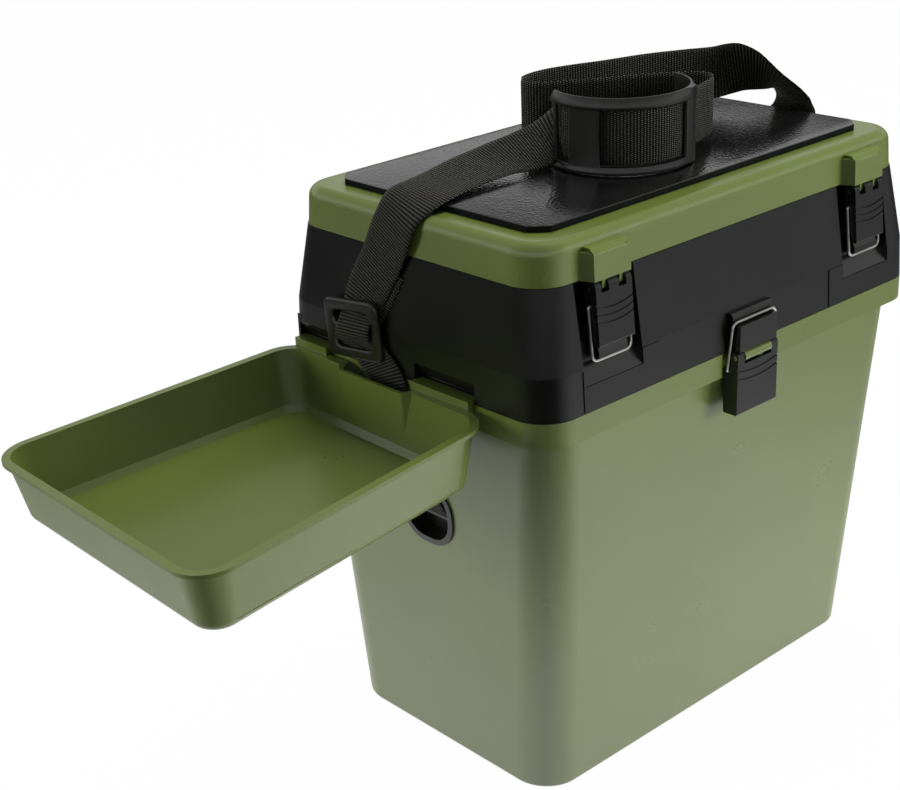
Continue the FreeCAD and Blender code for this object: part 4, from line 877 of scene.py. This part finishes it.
def makeSlide():
    values = slideSet
    count = int((values["end"] - values["start"]) / values["step"])
    columns = tuple(values["start"] + values["step"] * i for i in range(count + 1))
    slide, cells = gridPiece("shoulderSlide", columns, tuple(values["rows"]))
    for vertex, (turn, up) in zip(slide.data.vertices, cells):
        vertex.co = Vector((turn, 0, up))
    low, high = values["openings"]

    def inWindow(face):
        inside = any(a < face.center.x < b for a, b in values["windows"])
        return inside and low < face.center.z < high

    deleteFaces(slide, inWindow)
    near = values["near"]
    middle = values["height"] / 2
    barTurn = values["windows"][1][0]
    for vertex in slide.data.vertices:
        turn, _, up = vertex.co
        if abs(turn - barTurn) < near and low - near < up < high + near:
            vertex.co.x -= values["barCurve"] * (1 - ((up - middle) / middle) ** 2)
    thicken(slide, values["outer"] - values["inner"])
    postLow, postHigh = values["post"]
    midReach = (values["outer"] + values["inner"]) / 2
    x, y = values["centre"]
    for vertex in slide.data.vertices:
        turn, side, up = vertex.co
        reach = midReach + side
        if side > 0:
            proud = next(push for row, push in values["rows"].items() if abs(row - up) < near)
            if postLow - near < turn < postHigh + near:
                onEdge = turn < postLow + near or turn > postHigh - near
                proud = max(proud, values["postProud"] * (values["postEdgeShare"] if onEdge else 1))
            reach += proud
        angle = math.radians(turn)
        place = (x + reach * math.cos(angle), y + reach * math.sin(angle), values["base"] + up)
        vertex.co = Vector(place) * mm
    turnOutwards()
    bevel = slide.modifiers.new("edges", "BEVEL")
    bevel.width = values["edge"] * mm
    bevel.segments = values["edgeSegments"]
    bevel.limit_method = "ANGLE"
    bevel.angle_limit = math.radians(values["edgeAngle"])
    applyAll(slide)
    bpy.ops.object.shade_smooth_by_angle(angle=math.radians(values["smoothAngle"]))
    giveFinish(slide, nylon)
    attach(slide, "lid")
    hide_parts("shoulder_slide")


makeSlide()
print("stage: shoulder slide")


# plain pale studio floor, white where it is seen and glowing with a painted reflection where gloss finds
# it, and soft lamps, in metres and watts
studioSet = {
    "floorSize": 12.0,
    "floorDrop": 0.0005,
    "floorColour": (0.70, 0.70, 0.69),
    "floorRough": 0.9,
    "floorShine": 0.1,
    "whiteShare": 0.985,
    "worldLight": 0.11,
    "lamps": [
        {"name": "keyLamp", "place": (1.7, -2.3, 0.6), "aim": (0, 0, 0.2), "size": 1.1, "power": 74},
        {"name": "leftLamp", "place": (-2.1, 1.5, 0.5), "aim": (0, 0, 0.2), "size": 0.9, "power": 35},
        {"name": "topLamp", "place": (0.7, 0.3, 2.5), "aim": (0, 0, 0.3), "size": 1.5, "power": 70},
    ],
}

# where gloss finds the floor, the floor glows as a painted reflection: a painted pool of light round the
# box, more light in front than behind, and a painted shadow, a darker gap toward the lens. A pair is
# where a change starts and where it ends.
floorMirrorSet = {
    "reach": 0.66,
    "fall": 3.0,
    "peak": 0.92,
    "frontToRear": (-1.6, -0.4),
    "inFront": 0.40,
    "atRear": 0.02,
    "lensWay": (-0.745, -0.667),
    "lensShadowTurn": (0.50, 0.88),
    "lensShadowReach": (0.28, 0.6),
    "smallest": 0.01,
}

# how bright gloss finds the world: a change starts and ends at the first two shares of the
# direction, and goes from the third value to the fourth
worldMirrorSet = {
    "horizon": (0.04, 0.22, 0.08, 1.0),
    "overhead": (0.34, 0.56, 0.90, 0.26),
    "towardRight": (0.63, 0.68, 0.72, 1.0),
    "farRight": (0.74, 0.88, 1.0, 0.45),
}


def floorMirror(tree):
    values = floorMirrorSet
    x, y, _ = splitCoords(tree, "Object")
    reach = mathNode(tree, "SQRT", plus(tree, times(tree, x, x), times(tree, y, y)))
    fall = mathNode(tree, "POWER", mathNode(tree, "DIVIDE", reach, values["reach"]), values["fall"])
    pool = mathNode(tree, "DIVIDE", values["peak"], plus(tree, fall, 1.0))
    pool = plus(tree, pool, remap(tree, y, *values["frontToRear"], values["inFront"], values["atRear"]))
    lensX, lensY = values["lensWay"]
    aside = plus(tree, times(tree, x, lensX), times(tree, y, lensY))
    toLens = mathNode(tree, "DIVIDE", aside, mathNode(tree, "MAXIMUM", reach, values["smallest"]))
    # painted shadow: the glow is cut back in a sector toward the lens
    lensShadowTurn = remap(tree, toLens, *values["lensShadowTurn"], 0, 1)
    lensShadowReach = remap(tree, reach, *values["lensShadowReach"], 0, 1)
    return times(tree, pool, oneMinus(tree, times(tree, lensShadowTurn, lensShadowReach)))


def seenRays(tree, path):
    return mathNode(tree, "MAXIMUM", path.outputs["Is Camera Ray"], path.outputs["Is Transmission Ray"])


def makeFloor():
    values = studioSet
    startAlone()
    bpy.ops.mesh.primitive_plane_add(size=values["floorSize"], location=(0, 0, -values["floorDrop"]))
    floor = bpy.context.object
    floor.name = "studioFloor"
    material, tree, shader = newMaterial("studioFloorPaint")
    shader.inputs["Base Color"].default_value = (*values["floorColour"], 1)
    shader.inputs["Roughness"].default_value = values["floorRough"]
    shader.inputs["Specular IOR Level"].default_value = values["floorShine"]
    path = addNode(tree, "ShaderNodeLightPath")
    glossy = path.outputs["Is Glossy Ray"]
    # for glossy rays the floor is a glow of painted light, not its lit paint
    lacking = times(tree, glossy, oneMinus(tree, floorMirror(tree)))
    glow = addNode(tree, "ShaderNodeEmission")
    tree.links.new(oneMinus(tree, lacking), glow.inputs["Strength"])
    white = times(tree, seenRays(tree, path), values["whiteShare"])
    mix = addNode(tree, "ShaderNodeMixShader")
    tree.links.new(mathNode(tree, "MAXIMUM", white, glossy), mix.inputs[0])
    tree.links.new(shader.outputs[0], mix.inputs[1])
    tree.links.new(glow.outputs[0], mix.inputs[2])
    tree.links.new(mix.outputs[0], tree.nodes["Material Output"].inputs["Surface"])
    floor.data.materials.append(material)


def worldMirror(tree):
    values = worldMirrorSet
    x, _, z = splitCoords(tree, "Generated")
    rise = times(tree, remap(tree, z, *values["horizon"]), remap(tree, z, *values["overhead"]))
    turn = times(tree, remap(tree, x, *values["towardRight"]), remap(tree, x, *values["farRight"]))
    return times(tree, rise, turn)


def makeWorld():
    world = bpy.data.worlds.new("studioWorld")
    bpy.context.scene.world = world
    world.use_nodes = True
    tree = world.node_tree
    background = tree.nodes["Background"]
    background.inputs["Color"].default_value = (1, 1, 1, 1)
    path = addNode(tree, "ShaderNodeLightPath")
    glossy = path.outputs["Is Glossy Ray"]
    plain = remap(tree, seenRays(tree, path), 0, 1, studioSet["worldLight"], 1.0)
    mirrored = times(tree, glossy, worldMirror(tree))
    strength = plus(tree, mirrored, times(tree, oneMinus(tree, glossy), plain))
    tree.links.new(strength, background.inputs["Strength"])


def makeLamp(values):
    bpy.ops.object.light_add(type="AREA", location=values["place"])
    lamp = bpy.context.object
    lamp.name = values["name"]
    lamp.data.size = values["size"]
    lamp.data.energy = values["power"]
    lamp.visible_glossy = False
    aim = Vector(values["aim"]) - Vector(values["place"])
    lamp.rotation_euler = aim.to_track_quat("-Z", "Y").to_euler()


makeFloor()
makeWorld()
for lampValues in studioSet["lamps"]:
    makeLamp(lampValues)
bpy.context.scene.view_settings.view_transform = "Standard"
print("stage: studio")
